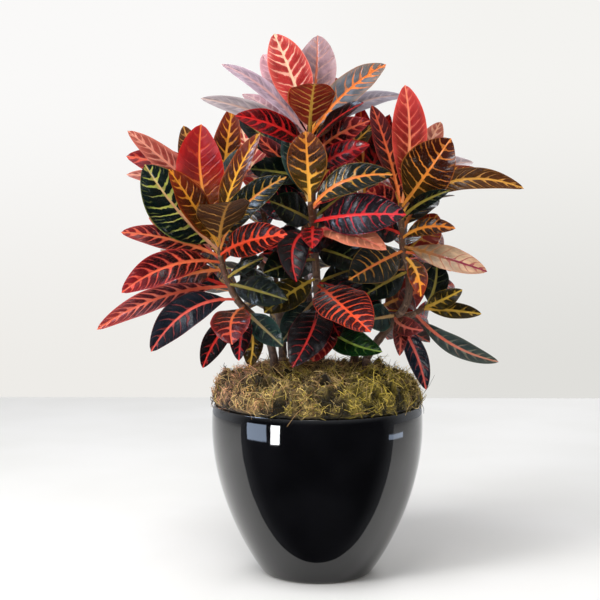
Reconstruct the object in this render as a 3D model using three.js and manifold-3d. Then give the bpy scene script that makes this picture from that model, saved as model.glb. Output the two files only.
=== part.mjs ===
// A potted croton: a black glazed pot, the root ball of potting soil in it, a moss mat and six leafy stems.
// Units are millimetres, +Z is up, and the origin is the centre of the pot's flat underside.
import * as THREE from "three";
import { mergeVertices } from "three/addons/utils/BufferGeometryUtils.js";
import Module from "manifold-3d";

const wasm = await Module();
wasm.setup();
const { Manifold, Mesh: ManifoldMesh } = wasm;

// The pot's outside is one curve from the foot to the belly, then a shoulder that turns in to the lip.
const POT_FOOT_RADIUS = 70;
const POT_FOOT_EDGE = 6;
const POT_BELLY_RADIUS = 142.5;
const POT_BELLY_HEIGHT = 200;
const POT_RIM_HEIGHT = 230;
const POT_WALL = 10;
const POT_FLOOR = 12;
const POT_SIDES = 36;

// The root ball stands a little above the rim, and the moss lies over it and on the rim.
const GAP = 0.4;
const SOIL_CROWN = 252;
const MOSS_EDGE_RADIUS = 136;
const MOSS_PLATEAU = 268;
const MOSS_LUMP = 7;
const MOSS_SIDES = 28;

// Stems. Each stands in a plain hole through the moss and the soil.
const ROOT_DEPTH = 150;
const CANE_CLEAR_HEIGHT = 292;
const CANE_SIDES = 5;
const CANE_STEP = 44;
const CANE_WALK = 60;
const CANE_FOOT_RADIUS = 6.5;
const CANE_TIP_RADIUS = 3;
const HOLE_RADIUS = 7.3;
const HOLE_SIDES = 12;

// Leaves.
const MARGIN_THICKNESS = 0.9;
const MIDRIB_THICKNESS = 2.2;
const PETIOLE_WIDTH = 4;
const PETIOLE_THICKNESS = 2.6;
const PETIOLE_SHARE = 0.12;
const TIP_WIDTH = 2.4;
const OUTLINE_LEAN = 1.06;
const OUTLINE_FULLNESS = 0.7;
const FOLD_DEG = 12;
const TWIST_DEG = 12;
const SWAY_SHARE = 0.05;
const ROLL_DEG = 24;
const YOUNGEST_LENGTH = 0.78;
const FAN_VARIETY = 0.08;
const FAN_ARCH = 0.16;
const BLADE_STATIONS = [0, PETIOLE_SHARE, 0.31, 0.58, 0.86];
const FAN_STATIONS = [0, PETIOLE_SHARE, 0.38, 0.72];

// Leaves that would cross are bent clear along the line of sight, a little in each pass.
const SETTLE_PASSES = 90;
const SETTLE_CELL = 6;
const SETTLE_CLEAR = 6;
const SETTLE_SHARE = 0.35;
const SETTLE_STEP = 7;
const SETTLE_ALONG = 26;
const SETTLE_ACROSS = 6;
const JOINT_SHARE = 0.3;
const LEAST_LEVER = 0.08;

// How far a leaf's tip may be bent: along the line of sight, and up or down.
const MEASURED_GIVE = [48, 6];
const FAN_GIVE = [30, 55];
const CANE_CORNERS = [[1, 0, 0], [-1, 0, 0], [0, 1, 0], [0, -1, 0], [0, 0, 1], [0, 0, -1]];

// The plant was measured from one eye. A place is given as it is seen, [x, z] on the plane y = 0, and its
// depth y, positive away from the eye, moves it along the line of sight.
const EYE_DISTANCE = 1905;
const EYE_HEIGHT = 528;

const FINISH = {
  pot: { color: 0x08080a, roughness: 0.08, metalness: 0 },
  soil: { color: 0x2a1c12, roughness: 0.95, metalness: 0 },
  moss: { color: 0x6b6a34, roughness: 0.95, metalness: 0 },
  leaf: { color: 0x6a2018, roughness: 0.35, metalness: 0 },
};

// A stem has a foot [x, y] in the moss and shoots. A shoot has a route of [x, z, y], measured leaves of
// [distance below the shoot's tip, x, z, y of the leaf's tip, width, arch, turn of its face to the eye,
// bow of its midrib to the left of its way out as seen], and fans of leaves that are placed by a rule where
// the eye doesn't see them.
const STEMS = [
  {
    name: "leafy_stem_centre",
    foot: [4, 8],
    shoots: [
      {
        route: [[2, 345, 6], [-5, 470, 8], [-11, 603, 10]],
        leaves: [
          [6, 0, 720, 62, 56, 0.1, 0.8, -0.05],
          [8, -58, 724, 45, 56, 0.12, 0.9, -0.03],
          [10, -73, 694, 84, 42, 0.12, 0.8, 0],
          [12, -4, 658, -92, 64, 0.16, 0, 0],
          [16, 91, 679, 26, 44, 0.1, 0.7, 0.1],
          [20, -128, 684, 30, 23, 0.12, 0.8, -0.13],
          [22, -156, 633, -22, 26, 0.16, 0.85, -0.09],
          [24, 116, 635, 74, 26, 0.14, 0.7, 0.18],
          [26, -100, 645, 92, 42, 0.1, 0.3, 0],
          [34, -110, 610, -48, 38, 0.2, 0.65, -0.06],
          [30, 62, 633, -62, 34, 0.14, 0.5, 0],
          [46, 70, 604, -40, 36, 0.16, 0.7, 0.08],
          [64, 70, 572, -62, 32, 0.14, 0.75, 0.06],
          [214, 72, 326, -150, 68, 0.12, 0.35, -0.05],
          [236, -34, 272, -118, 56, 0.18, 0.4, 0.14],
          [256, 88, 300, -78, 42, 0.12, 0.65, -0.22],
          [170, -74, 432, -40, 36, 0.12, 0.75, 0],
          [96, -74, 560, 24, 42, 0.12, 0.7, 0],
          [88, 76, 604, 34, 38, 0.1, 0.6, 0],
          [76, -106, 608, 62, 44, 0.1, 0.6, 0],
          [84, -82, 588, 30, 30, 0.12, 0.65, 0.05],
          [130, -64, 500, -46, 46, 0.12, 0.7, 0],
          [150, 84, 458, -30, 46, 0.12, 0.7, 0],
          [205, -72, 352, -52, 44, 0.14, 0.65, 0],
          [215, 40, 380, 46, 44, 0.14, 0.5, 0],
          [232, -48, 318, -60, 40, 0.14, 0.6, 0],
          [225, 92, 352, -26, 42, 0.12, 0.65, 0],
          [150, -66, 440, -72, 44, 0.14, 0.6, 0],
          [165, 66, 410, -64, 46, 0.14, 0.6, 0],
          [72, -90, 540, -8, 40, 0.12, 0.7, 0],
          [236, 30, 318, -66, 40, 0.14, 0.5, 0],
          [125, 52, 520, 44, 36, 0.12, 0.6, 0],
          [212, 62, 414, 38, 36, 0.12, 0.6, 0],
        ],
        fans: [
          {
            count: 4, first: 14, step: 13, towards: 88, spread: 44,
            rise: [62, 30], length: 124, width: 50, face: 0.12,
          },
          {
            count: 5, first: 32, step: 13, towards: 98, spread: 64,
            rise: [30, -8], length: 130, width: 52, face: 0.12,
          },
          {
            count: 5, first: 118, step: 31, towards: -90, spread: 80,
            rise: [12, -30], length: 108, width: 52, face: 0.5,
          },
        ],
      },
      {
        route: [[-4, 440, 8], [-6, 468, -30], [-10, 500, -62]],
        leaves: [
          [4, -16, 596, -34, 54, 0.08, 0.3, 0],
          [6, -42, 600, -5, 36, 0.1, 0.3, 0],
          [12, 101, 534, -98, 38, 0.14, 0.75, 0.24],
          [14, 55, 560, -20, 38, 0.14, 0.65, 0],
          [36, 119, 487, -126, 56, 0.16, 0.75, 0.04],
          [52, 93, 438, -112, 40, 0.2, 0.1, 0],
          [50, -28, 394, -116, 42, 0.16, 0.6, -0.3],
          [44, -7, 439, -104, 30, 0.14, 0.3, 0],
        ],
        fans: [],
      },
    ],
  },
  {
    name: "leafy_stem_left",
    foot: [-58, -12],
    shoots: [
      {
        route: [[-66, 318, -14], [-84, 345, -18], [-108, 370, -24], [-127, 412, -28], [-133, 450, -30]],
        leaves: [
          [4, -155, 605, 2, 66, 0.06, 0.85, 0.13],
          [6, -76, 594, -20, 38, 0.1, 0.5, 0.06],
          [8, -116, 499, -150, 72, 0.16, 0, 0],
          [10, -199, 545, -96, 44, 0.12, 0.65, 0.03],
          [14, -231, 551, -62, 72, 0.1, 0.9, 0.09],
          [16, -41, 537, -66, 42, 0.12, 0.65, 0.16],
          [20, -40, 458, -122, 44, 0.14, 0.75, 0.06],
          [22, -264, 461, -58, 33, 0.14, 0.7, -0.05],
          [26, -226, 482, 26, 38, 0.14, 0.5, 0],
          [30, -264, 379, -92, 44, 0.16, 0.75, -0.17],
          [40, -219, 384, -20, 44, 0.14, 0.75, -0.1],
          [64, -298, 329, -62, 31, 0.14, 0.75, -0.12],
          [84, -225, 299, -104, 46, 0.12, 0.75, -0.25],
          [60, -40, 372, -92, 40, 0.12, 0.7, 0],
          [52, -72, 425, -52, 20, 0.12, 0.65, 0],
          [76, -62, 396, 24, 42, 0.12, 0.6, 0],
          [66, -206, 414, 34, 38, 0.12, 0.6, 0],
          [9, -106, 572, 20, 36, 0.1, 0.6, 0.05],
        ],
        fans: [
          {
            count: 6, first: 12, step: 12, towards: 106, spread: 50,
            rise: [52, -12], length: 122, width: 52, face: 0.12,
          },
        ],
      },
      {
        route: [[-84, 345, -18], [-94, 350, -36], [-100, 360, -52]],
        leaves: [
          [2, -115, 309, -136, 54, 0.14, 0.2, -0.15],
          [8, -155, 277, -92, 32, 0.12, 0.65, -0.14],
          [12, -106, 287, -100, 30, 0.16, 0.5, 0],
          [20, -92, 278, -64, 30, 0.1, 0.65, 0.18],
          [10, -46, 307, -96, 34, 0.14, 0.65, 0],
        ],
        fans: [],
      },
    ],
  },
  {
    name: "leafy_stem_right",
    foot: [66, -8],
    shoots: [
      {
        route: [
          [84, 318, -10], [105, 343, -14], [122, 372, -12], [122, 412, -10],
          [114, 442, -8], [112, 500, -10],
        ],
        leaves: [
          [4, 116, 656, 22, 48, 0.1, 0.85, -0.1],
          [6, 178, 586, -84, 72, 0.1, 0.75, -0.04],
          [8, 72, 630, 18, 36, 0.1, 0.5, 0],
          [12, 164, 602, 74, 40, 0.1, 0.5, 0],
          [14, 276, 519, -42, 31, 0.2, 0.75, 0.28],
          [18, 208, 560, 60, 40, 0.12, 0.5, 0.2],
          [22, 216, 545, 16, 32, 0.12, 0.65, 0.2],
          [22, 177, 517, -72, 20, 0.12, 0.85, 0.1],
          [48, 185, 466, -58, 24, 0.14, 0.75, 0.18],
          [58, 228, 408, -66, 34, 0.14, 0.7, -0.02],
          [64, 42, 402, -74, 56, 0.12, 0.75, 0],
          [72, 139, 374, -60, 26, 0.12, 0.85, 0.18],
          [92, 60, 374, -40, 44, 0.12, 0.75, 0],
          [66, 203, 406, -28, 26, 0.12, 0.7, 0.08],
          [42, 72, 466, -28, 44, 0.12, 0.7, 0],
          [14, 66, 516, -34, 40, 0.12, 0.7, 0],
          [124, 184, 384, 46, 34, 0.12, 0.6, 0],
        ],
        fans: [
          {
            count: 6, first: 12, step: 13, towards: 88, spread: 40,
            rise: [54, -10], length: 122, width: 52, face: 0.12,
          },
        ],
      },
      {
        route: [[105, 343, -14], [128, 350, -6], [148, 362, 0]],
        leaves: [
          [2, 160, 428, 10, 36, 0.06, 0.85, -0.12],
          [4, 195, 384, -60, 26, 0.12, 0.85, 0],
          [8, 221, 351, -34, 23, 0.12, 0.75, 0],
          [20, 245, 286, -62, 27, 0.12, 0.75, -0.2],
        ],
        fans: [
          {
            count: 3, first: 10, step: 9, towards: 92, spread: 36,
            rise: [20, -8], length: 104, width: 48, face: 0.12,
          },
        ],
      },
      {
        route: [[105, 343, -14], [105, 345, -30], [103, 349, -46]],
        leaves: [
          [2, 64, 342, -74, 38, 0.12, 0.6, 0],
          [6, 143, 323, -118, 26, 0.14, 0.4, -0.16],
          [10, 147, 248, -70, 28, 0.2, 0.7, 0.13],
          [14, 111, 300, -116, 20, 0.12, 0.3, 0.1],
        ],
        fans: [],
      },
    ],
  },
  {
    name: "leafy_stem_back_left",
    foot: [-48, 58],
    shoots: [
      {
        route: [[-50, 340, 70], [-62, 430, 88], [-76, 506, 104]],
        leaves: [],
        fans: [
          {
            count: 10, first: 6, step: 13, towards: 104, spread: 84,
            rise: [66, -16], length: 140, width: 56, face: 0.12,
          },
        ],
      },
      {
        route: [[-57, 400, 82], [-96, 440, 66], [-132, 492, 44]],
        leaves: [
          [1, -113, 626, 66, 40, 0.1, 0.8, -0.02],
          [2, -179, 603, 48, 42, 0.1, 0.8, 0.04],
          [6, -254, 596, -4, 36, 0.1, 0.7, 0],
          [10, -256, 562, 38, 46, 0.12, 0.7, -0.22],
          [14, -256, 537, 74, 26, 0.14, 0.6, -0.15],
        ],
        fans: [
          {
            count: 5, first: 14, step: 11, towards: 135, spread: 55,
            rise: [35, -12], length: 134, width: 54, face: 0.12,
          },
        ],
      },
      {
        route: [[-51, 352, 74], [-80, 366, 98], [-108, 384, 112]],
        leaves: [],
        fans: [
          {
            count: 6, first: 4, step: 11, towards: 112, spread: 58,
            rise: [52, -12], length: 122, width: 56, face: 0.12,
          },
        ],
      },
    ],
  },
  {
    name: "leafy_stem_back_right",
    foot: [52, 60],
    shoots: [
      {
        route: [[54, 340, 72], [58, 440, 88], [64, 520, 96]],
        leaves: [
          [6, 96, 624, 52, 34, 0.1, 0.9, 0],
          [10, 57, 625, 74, 36, 0.1, 0.9, 0],
        ],
        fans: [
          {
            count: 10, first: 8, step: 13, towards: 82, spread: 82,
            rise: [60, -20], length: 138, width: 56, face: 0.12,
          },
        ],
      },
      {
        route: [[56, 390, 80], [92, 412, 104], [118, 436, 118]],
        leaves: [],
        fans: [
          {
            count: 7, first: 4, step: 11, towards: 74, spread: 60,
            rise: [50, -22], length: 108, width: 54, face: 0.12,
          },
        ],
      },
      {
        route: [[54, 345, 73], [70, 350, 100], [88, 362, 122]],
        leaves: [],
        fans: [
          {
            count: 6, first: 4, step: 11, towards: 74, spread: 58,
            rise: [48, -16], length: 120, width: 54, face: 0.12,
          },
        ],
      },
    ],
  },
  {
    name: "leafy_stem_back",
    foot: [2, 82],
    shoots: [
      {
        route: [[-2, 335, 106], [-10, 370, 146], [-16, 402, 182]],
        leaves: [],
        fans: [
          {
            count: 8, first: 4, step: 10, towards: 94, spread: 50,
            rise: [50, -22], length: 122, width: 54, face: 0.12,
          },
        ],
      },
    ],
  },
];

const radians = THREE.MathUtils.degToRad;
const TOWARDS_EYE = new THREE.Vector3(0, -1, 0);

// Random draws that are the same in every run.
const DRAW_FACTOR = 16807;
const DRAW_RANGE = 2147483647;
let drawState = 20240;
function draw() {
  drawState = (drawState * DRAW_FACTOR) % DRAW_RANGE;
  return (drawState / DRAW_RANGE) * 2 - 1;
}

function alongSight([x, z, y]) {
  const share = (EYE_DISTANCE + y) / EYE_DISTANCE;
  return new THREE.Vector3(x * share, y, EYE_HEIGHT + (z - EYE_HEIGHT) * share);
}

function asSeen(point) {
  const share = (EYE_DISTANCE + point.y) / EYE_DISTANCE;
  return [point.x / share, EYE_HEIGHT + (point.z - EYE_HEIGHT) / share, point.y];
}

// Closed solid through rings of points, which may end in a single point. bottomFrom is the column where the
// under face starts, so that its triangles follow the same diagonals as the upper face.
function loft(rings, bottomFrom, point) {
  const columns = rings[0].length;
  const positions = rings.flat().flatMap((corner) => corner.toArray());
  if (point) positions.push(...point.toArray());
  const index = [];
  for (let ring = 0; ring + 1 < rings.length; ring += 1) {
    for (let column = 0; column < columns; column += 1) {
      const next = (column + 1) % columns;
      const a = ring * columns + column;
      const b = ring * columns + next;
      const c = a + columns;
      const d = b + columns;
      if (column < bottomFrom) index.push(a, b, d, a, d, c);
      else index.push(a, b, c, b, d, c);
    }
  }
  const last = (rings.length - 1) * columns;
  for (let column = 1; column + 1 < columns; column += 1) {
    index.push(0, column + 1, column);
    if (!point) index.push(last, last + column, last + column + 1);
  }
  for (let column = 0; point && column < columns; column += 1) {
    index.push(last + column, last + ((column + 1) % columns), last + columns);
  }
  const geometry = new THREE.BufferGeometry();
  geometry.setAttribute("position", new THREE.Float32BufferAttribute(positions, 3));
  geometry.setIndex(index);
  return geometry;
}

function toSolid(geometry) {
  const bare = new THREE.BufferGeometry();
  bare.setAttribute("position", geometry.getAttribute("position"));
  bare.setIndex(geometry.index);
  const merged = mergeVertices(bare, 1e-4);
  const corners = merged.index.array;
  const kept = [];
  for (let i = 0; i < corners.length; i += 3) {
    const [a, b, c] = corners.subarray(i, i + 3);
    if (a !== b && b !== c && c !== a) kept.push(a, b, c);
  }
  const solid = new Manifold(
    new ManifoldMesh({
      numProp: 3,
      vertProperties: merged.getAttribute("position").array,
      triVerts: new Uint32Array(kept),
    }),
  );
  return solid;
}

function toMesh(name, solid, finish) {
  const { vertProperties, triVerts } = solid.getMesh();
  const geometry = new THREE.BufferGeometry();
  geometry.setAttribute("position", new THREE.BufferAttribute(vertProperties, 3));
  geometry.setIndex(new THREE.BufferAttribute(triVerts, 1));
  const mesh = new THREE.Mesh(geometry, new THREE.MeshStandardMaterial(finish));
  mesh.name = name;
  return mesh;
}

// Pot, soil and moss.

function potOutside() {
  const foot = new THREE.Vector2(POT_FOOT_RADIUS + POT_FOOT_EDGE, POT_FOOT_EDGE * 0.7);
  const belly = new THREE.Vector2(POT_BELLY_RADIUS, POT_BELLY_HEIGHT);
  const curve = new THREE.CubicBezierCurve(
    foot,
    new THREE.Vector2(foot.x + 28, foot.y + 38),
    new THREE.Vector2(belly.x, belly.y - 80),
    belly,
  );
  return [new THREE.Vector2(POT_FOOT_RADIUS, 0), ...curve.getPoints(6)];
}

function buildPot() {
  const rim = POT_RIM_HEIGHT;
  const outer = POT_BELLY_RADIUS;
  const inner = outer - POT_WALL - 2;
  const lip = [
    [outer - 0.4, rim - 12],
    [outer - 2, rim - 4],
    [outer - 5, rim],
    [inner + 3, rim],
    [inner, rim - 4],
  ].map(([x, y]) => new THREE.Vector2(x, y));
  const inside = potOutside()
    .slice(1)
    .reverse()
    .map((point) => new THREE.Vector2(point.x - POT_WALL, point.y))
    .filter((point) => point.y > POT_FLOOR + 4 && point.x < inner);
  const floorRadius = POT_FOOT_RADIUS;
  const profile = [
    new THREE.Vector2(0, 0),
    ...potOutside(),
    ...lip,
    ...inside,
    new THREE.Vector2(floorRadius, POT_FLOOR),
    new THREE.Vector2(0, POT_FLOOR),
  ];
  return toSolid(new THREE.LatheGeometry(profile, POT_SIDES).rotateX(Math.PI / 2));
}

const INNER_RADIUS = POT_BELLY_RADIUS - POT_WALL - 2;
const DOME_SHARES = [0.3, 0.6, 0.82, 0.93, 1];
const MOSS_LIFT = 0.8;

// Height of the top of the soil, and of the moss's underside, at a distance from the axis.
function soilHeight(radius) {
  const share = Math.min(radius / INNER_RADIUS, 1);
  return SOIL_CROWN - (SOIL_CROWN - POT_RIM_HEIGHT + 3) * share ** 4;
}

function buildSoil() {
  const clear = POT_WALL + GAP + 1;
  const side = potOutside()
    .slice(1)
    .map((point) => new THREE.Vector2(point.x - clear, point.y))
    .filter((point) => point.y > POT_FLOOR + 6 && point.x < INNER_RADIUS - GAP - 1);
  const edge = INNER_RADIUS - GAP - 1;
  const top = DOME_SHARES.map((share) => edge * share)
    .map((radius) => new THREE.Vector2(radius, soilHeight(radius)))
    .reverse();
  const profile = [
    new THREE.Vector2(0, POT_FLOOR + GAP),
    new THREE.Vector2(POT_FOOT_RADIUS - 2, POT_FLOOR + GAP),
    ...side,
    ...top,
    new THREE.Vector2(0, SOIL_CROWN),
  ];
  return toSolid(new THREE.LatheGeometry(profile, MOSS_SIDES).rotateX(Math.PI / 2));
}

// Lumps of the moss: slow waves across the mat, from -1 to 1.
function mossLump(x, y) {
  const broad = Math.sin(x * 0.045 + 1.3) * Math.cos(y * 0.052 - 0.4);
  const middle = Math.sin(x * 0.11 + y * 0.07 + 2.1);
  const fine = Math.sin(x * 0.21 - y * 0.17 + 0.6) * Math.cos(x * 0.09 + y * 0.19);
  return 0.5 * broad + 0.3 * middle + 0.35 * fine;
}

function mossPoint(radius, angle, height, lump) {
  const x = radius * Math.cos(angle);
  const y = radius * Math.sin(angle);
  const swell = mossLump(x, y) * MOSS_LUMP * lump;
  const out = 1 + (swell * 0.35) / Math.max(radius, 1);
  return new THREE.Vector3(x * out, y * out, height + swell);
}

function buildMoss() {
  const edge = INNER_RADIUS - GAP - 1;
  const under = DOME_SHARES.map((share) => [edge * share, soilHeight(edge * share) + MOSS_LIFT, 0]);
  const rim = POT_RIM_HEIGHT;
  const rows = [
    ...under,
    [INNER_RADIUS + 3, rim + GAP, 0],
    [MOSS_EDGE_RADIUS, rim + GAP, 0],
    [MOSS_EDGE_RADIUS + 3, rim + 9, 0.4],
    [MOSS_EDGE_RADIUS - 2, rim + 22, 0.8],
    [MOSS_EDGE_RADIUS - 14, rim + 33, 1],
    [MOSS_EDGE_RADIUS - 34, MOSS_PLATEAU, 1.3],
    [MOSS_EDGE_RADIUS - 56, MOSS_PLATEAU + 1, 1.3],
    [MOSS_EDGE_RADIUS - 82, MOSS_PLATEAU + 3, 1.3],
    [MOSS_EDGE_RADIUS - 110, MOSS_PLATEAU + 4, 1.3],
  ];
  const positions = [0, 0, SOIL_CROWN + MOSS_LIFT];
  for (const [radius, height, lump] of rows) {
    for (let side = 0; side < MOSS_SIDES; side += 1) {
      const angle = (side / MOSS_SIDES) * 2 * Math.PI;
      positions.push(...mossPoint(radius, angle, height, lump).toArray());
    }
  }
  positions.push(...mossPoint(0, 0, MOSS_PLATEAU + 4, 1.3).toArray());
  const index = [];
  const crown = 1 + rows.length * MOSS_SIDES;
  for (let side = 0; side < MOSS_SIDES; side += 1) {
    const next = (side + 1) % MOSS_SIDES;
    index.push(0, 1 + next, 1 + side);
    for (let row = 0; row + 1 < rows.length; row += 1) {
      const a = 1 + row * MOSS_SIDES + side;
      const b = 1 + row * MOSS_SIDES + next;
      index.push(a, b, b + MOSS_SIDES, a, b + MOSS_SIDES, a + MOSS_SIDES);
    }
    const lastRow = 1 + (rows.length - 1) * MOSS_SIDES;
    index.push(lastRow + side, lastRow + next, crown);
  }
  const geometry = new THREE.BufferGeometry();
  geometry.setAttribute("position", new THREE.Float32BufferAttribute(positions, 3));
  geometry.setIndex(index);
  return toSolid(geometry);
}

// A plain hole for each stem, from its root to above the moss.
function stemHoles() {
  const height = CANE_CLEAR_HEIGHT + MOSS_LUMP * 2 - ROOT_DEPTH;
  return STEMS.map(({ foot }) => {
    const hole = new THREE.CylinderGeometry(HOLE_RADIUS, HOLE_RADIUS, height, HOLE_SIDES);
    hole.rotateX(Math.PI / 2);
    hole.translate(foot[0], foot[1], ROOT_DEPTH + height / 2);
    return toSolid(hole);
  });
}

// Canes.

function caneRoute(stem, shoot, isMain) {
  const seen = shoot.route.map(alongSight);
  if (!isMain) return seen;
  const [x, y] = stem.foot;
  const foot = new THREE.Vector3(x, y, ROOT_DEPTH + GAP);
  return [foot, new THREE.Vector3(x, y, CANE_CLEAR_HEIGHT), ...seen];
}

// The main cane is straight from its root to above the moss, so that it fits its plain hole.
function caneLine(stem, shoot, isMain) {
  const route = caneRoute(stem, shoot, isMain);
  const curve = new THREE.CatmullRomCurve3(isMain ? route.slice(1) : route, false, "catmullrom", 0.5);
  const points = curve.getPoints(CANE_WALK);
  return isMain ? [route[0], ...points] : points;
}

// The point and the direction of a cane at a distance below its tip.
function placeOnCane(line, below) {
  let left = below;
  for (let i = line.length - 1; i > 0; i -= 1) {
    const length = line[i].distanceTo(line[i - 1]);
    if (left <= length || i === 1) {
      const axis = line[i].clone().sub(line[i - 1]).normalize();
      return { point: line[i].clone().addScaledVector(axis, -left), axis };
    }
    left -= length;
  }
  return null;
}

function caneRadius(share, isMain) {
  const foot = isMain ? CANE_FOOT_RADIUS : CANE_FOOT_RADIUS * 0.75;
  return THREE.MathUtils.lerp(CANE_TIP_RADIUS, foot, Math.sqrt(share));
}

function caneSolid(line, isMain) {
  let length = 0;
  for (let i = 1; i < line.length; i += 1) length += line[i].distanceTo(line[i - 1]);
  const steps = Math.max(2, Math.round(length / CANE_STEP));
  const rings = [];
  for (let step = steps; step >= 0; step -= 1) {
    const share = step / steps;
    const { point, axis } = placeOnCane(line, share * length);
    const side = axis.clone().cross(TOWARDS_EYE).normalize();
    const front = side.clone().cross(axis);
    const radius = caneRadius(share, isMain);
    const ring = [];
    for (let corner = 0; corner < CANE_SIDES; corner += 1) {
      const angle = (corner / CANE_SIDES) * 2 * Math.PI;
      const across = side.clone().multiplyScalar(radius * Math.cos(angle));
      ring.push(point.clone().add(across).addScaledVector(front, -radius * Math.sin(angle)));
    }
    rings.push(ring);
  }
  return toSolid(loft(rings, CANE_SIDES));
}

// Leaves.

function makeLeaf(line, [below, x, z, y, width, arch, face, bow], give) {
  const { point, axis } = placeOnCane(line, below);
  return {
    line,
    base: point,
    axis,
    aim: [x, z, y],
    tip: [x, z, y],
    give,
    bent: [0, 0],
    width,
    arch,
    face,
    bow,
    roll: give === FAN_GIVE ? draw() * radians(ROLL_DEG) : 0,
    twist: draw() * radians(TWIST_DEG),
    sway: give === FAN_GIVE ? draw() * SWAY_SHARE : 0,
  };
}

// Leaves set round a shoot at the golden angle, upright at the tip and drooping lower down.
const GOLDEN_SHARE = 0.618034;
function fanRows(line, fan) {
  const { count, first, step, towards, spread, rise, length, width, face } = fan;
  const rows = [];
  for (let i = 0; i < count; i += 1) {
    const share = i / Math.max(count - 1, 1);
    const turn = (i * GOLDEN_SHARE) % 1;
    const azimuth = radians(towards + spread * (turn * 2 - 1));
    const slope = radians(rise[0] + (rise[1] - rise[0]) * share);
    const below = first + step * i;
    const grown = THREE.MathUtils.lerp(YOUNGEST_LENGTH, 1, Math.min(share * 2, 1));
    const reach = length * grown * (1 + draw() * FAN_VARIETY);
    const { point } = placeOnCane(line, below);
    const flat = Math.cos(slope) * reach;
    const tip = new THREE.Vector3(
      point.x + flat * Math.cos(azimuth),
      point.y + flat * Math.sin(azimuth),
      point.z + Math.sin(slope) * reach,
    );
    rows.push([below, ...asSeen(tip), width * (1 + draw() * FAN_VARIETY), FAN_ARCH, face, 0]);
  }
  return rows;
}

// The leaf's own directions and the control point of its arched midrib.
function leafFrame(leaf) {
  const tip = alongSight(leaf.tip);
  const chord = tip.clone().sub(leaf.base);
  const length = chord.length();
  const ahead = chord.clone().normalize();
  const up = leaf.axis.clone().addScaledVector(ahead, -leaf.axis.dot(ahead)).normalize();
  const facing = TOWARDS_EYE.clone().addScaledVector(ahead, -TOWARDS_EYE.dot(ahead)).normalize();
  const normal = up.lerp(facing, leaf.face).normalize().applyAxisAngle(ahead, leaf.roll);
  const across = ahead.clone().cross(normal);
  const beside = TOWARDS_EYE.clone().cross(ahead).normalize();
  const control = leaf.base.clone().add(tip).multiplyScalar(0.5);
  control.addScaledVector(normal, leaf.arch * length).addScaledVector(across, leaf.sway * length);
  control.addScaledVector(beside, leaf.bow * length);
  return { tip, normal, control };
}

function halfWidth(leaf, t) {
  if (t <= PETIOLE_SHARE) return PETIOLE_WIDTH / 2;
  const along = (t - PETIOLE_SHARE) / (1 - PETIOLE_SHARE);
  const outline = Math.max(Math.sin(Math.PI * along ** OUTLINE_LEAN), 0) ** OUTLINE_FULLNESS;
  const stalk = THREE.MathUtils.lerp(PETIOLE_WIDTH, TIP_WIDTH, along) / 2;
  return Math.max((leaf.width / 2) * outline, stalk);
}

// A station on the leaf: its middle, the half chord to each margin and the upper face's normal.
function leafStation(leaf, frame, t) {
  const middle = leaf.base.clone().multiplyScalar((1 - t) ** 2);
  middle.addScaledVector(frame.control, 2 * t * (1 - t)).addScaledVector(frame.tip, t * t);
  const ahead = frame.control.clone().sub(leaf.base).multiplyScalar(1 - t);
  ahead.add(frame.tip.clone().sub(frame.control).multiplyScalar(t)).normalize();
  const flat = frame.normal.clone().addScaledVector(ahead, -frame.normal.dot(ahead)).normalize();
  const turn = leaf.twist * (t - 0.4);
  const level = ahead.clone().cross(flat);
  const normal = flat.clone().multiplyScalar(Math.cos(turn)).addScaledVector(level, Math.sin(turn));
  const across = ahead.clone().cross(normal);
  return { middle, normal, across, half: halfWidth(leaf, t) };
}

function bladePoint({ middle, normal, across, half }, side) {
  const fold = radians(FOLD_DEG);
  const point = middle.clone().addScaledVector(across, side * half * Math.cos(fold));
  return point.addScaledVector(normal, Math.abs(side) * half * Math.sin(fold));
}

function leafSolid(leaf) {
  const frame = leafFrame(leaf);
  const stations = leaf.give === FAN_GIVE ? FAN_STATIONS : BLADE_STATIONS;
  const rings = stations.map((t) => {
    const station = leafStation(leaf, frame, t);
    const onStalk = t <= PETIOLE_SHARE;
    const margin = (onStalk ? PETIOLE_THICKNESS : MARGIN_THICKNESS) / 2;
    const root = onStalk ? PETIOLE_THICKNESS : MIDRIB_THICKNESS;
    const midrib = THREE.MathUtils.lerp(root, MARGIN_THICKNESS, t) / 2;
    const place = (side, lift) => bladePoint(station, side).addScaledVector(station.normal, lift);
    const upper = [place(-1, margin), place(0, midrib), place(1, margin)];
    const under = [place(1, -margin), place(0, -midrib), place(-1, -margin)];
    return [...upper, ...under];
  });
  return toSolid(loft(rings, 3, frame.tip));
}

// A place that a leaf or a cane covers: as seen [x, z, y], in plan [x, y, z], and its share of the leaf's
// length.
function coverPoint(point, share) {
  return { views: [asSeen(point), [point.x, point.y, point.z]], share };
}

function leafCover(leaf) {
  const frame = leafFrame(leaf);
  const cover = [];
  for (let i = 1; i <= SETTLE_ALONG; i += 1) {
    const share = i / SETTLE_ALONG;
    const station = leafStation(leaf, frame, share);
    for (let j = -SETTLE_ACROSS; j <= SETTLE_ACROSS; j += 2) {
      cover.push(coverPoint(bladePoint(station, j / SETTLE_ACROSS), share));
    }
  }
  return cover;
}

function caneCover(line) {
  const cover = [];
  for (const point of line.slice(1)) {
    for (const [x, y, z] of CANE_CORNERS) {
      const corner = new THREE.Vector3(x, y, z).multiplyScalar(CANE_TIP_RADIUS).add(point);
      cover.push(coverPoint(corner, 0));
    }
  }
  return cover;
}

function mayMeet(one, other, shareOne, shareOther) {
  if (one.line !== other.line) return Boolean(one.tip || other.tip);
  return Boolean(one.tip && other.tip) && Math.min(shareOne, shareOther) > JOINT_SHARE;
}

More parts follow.
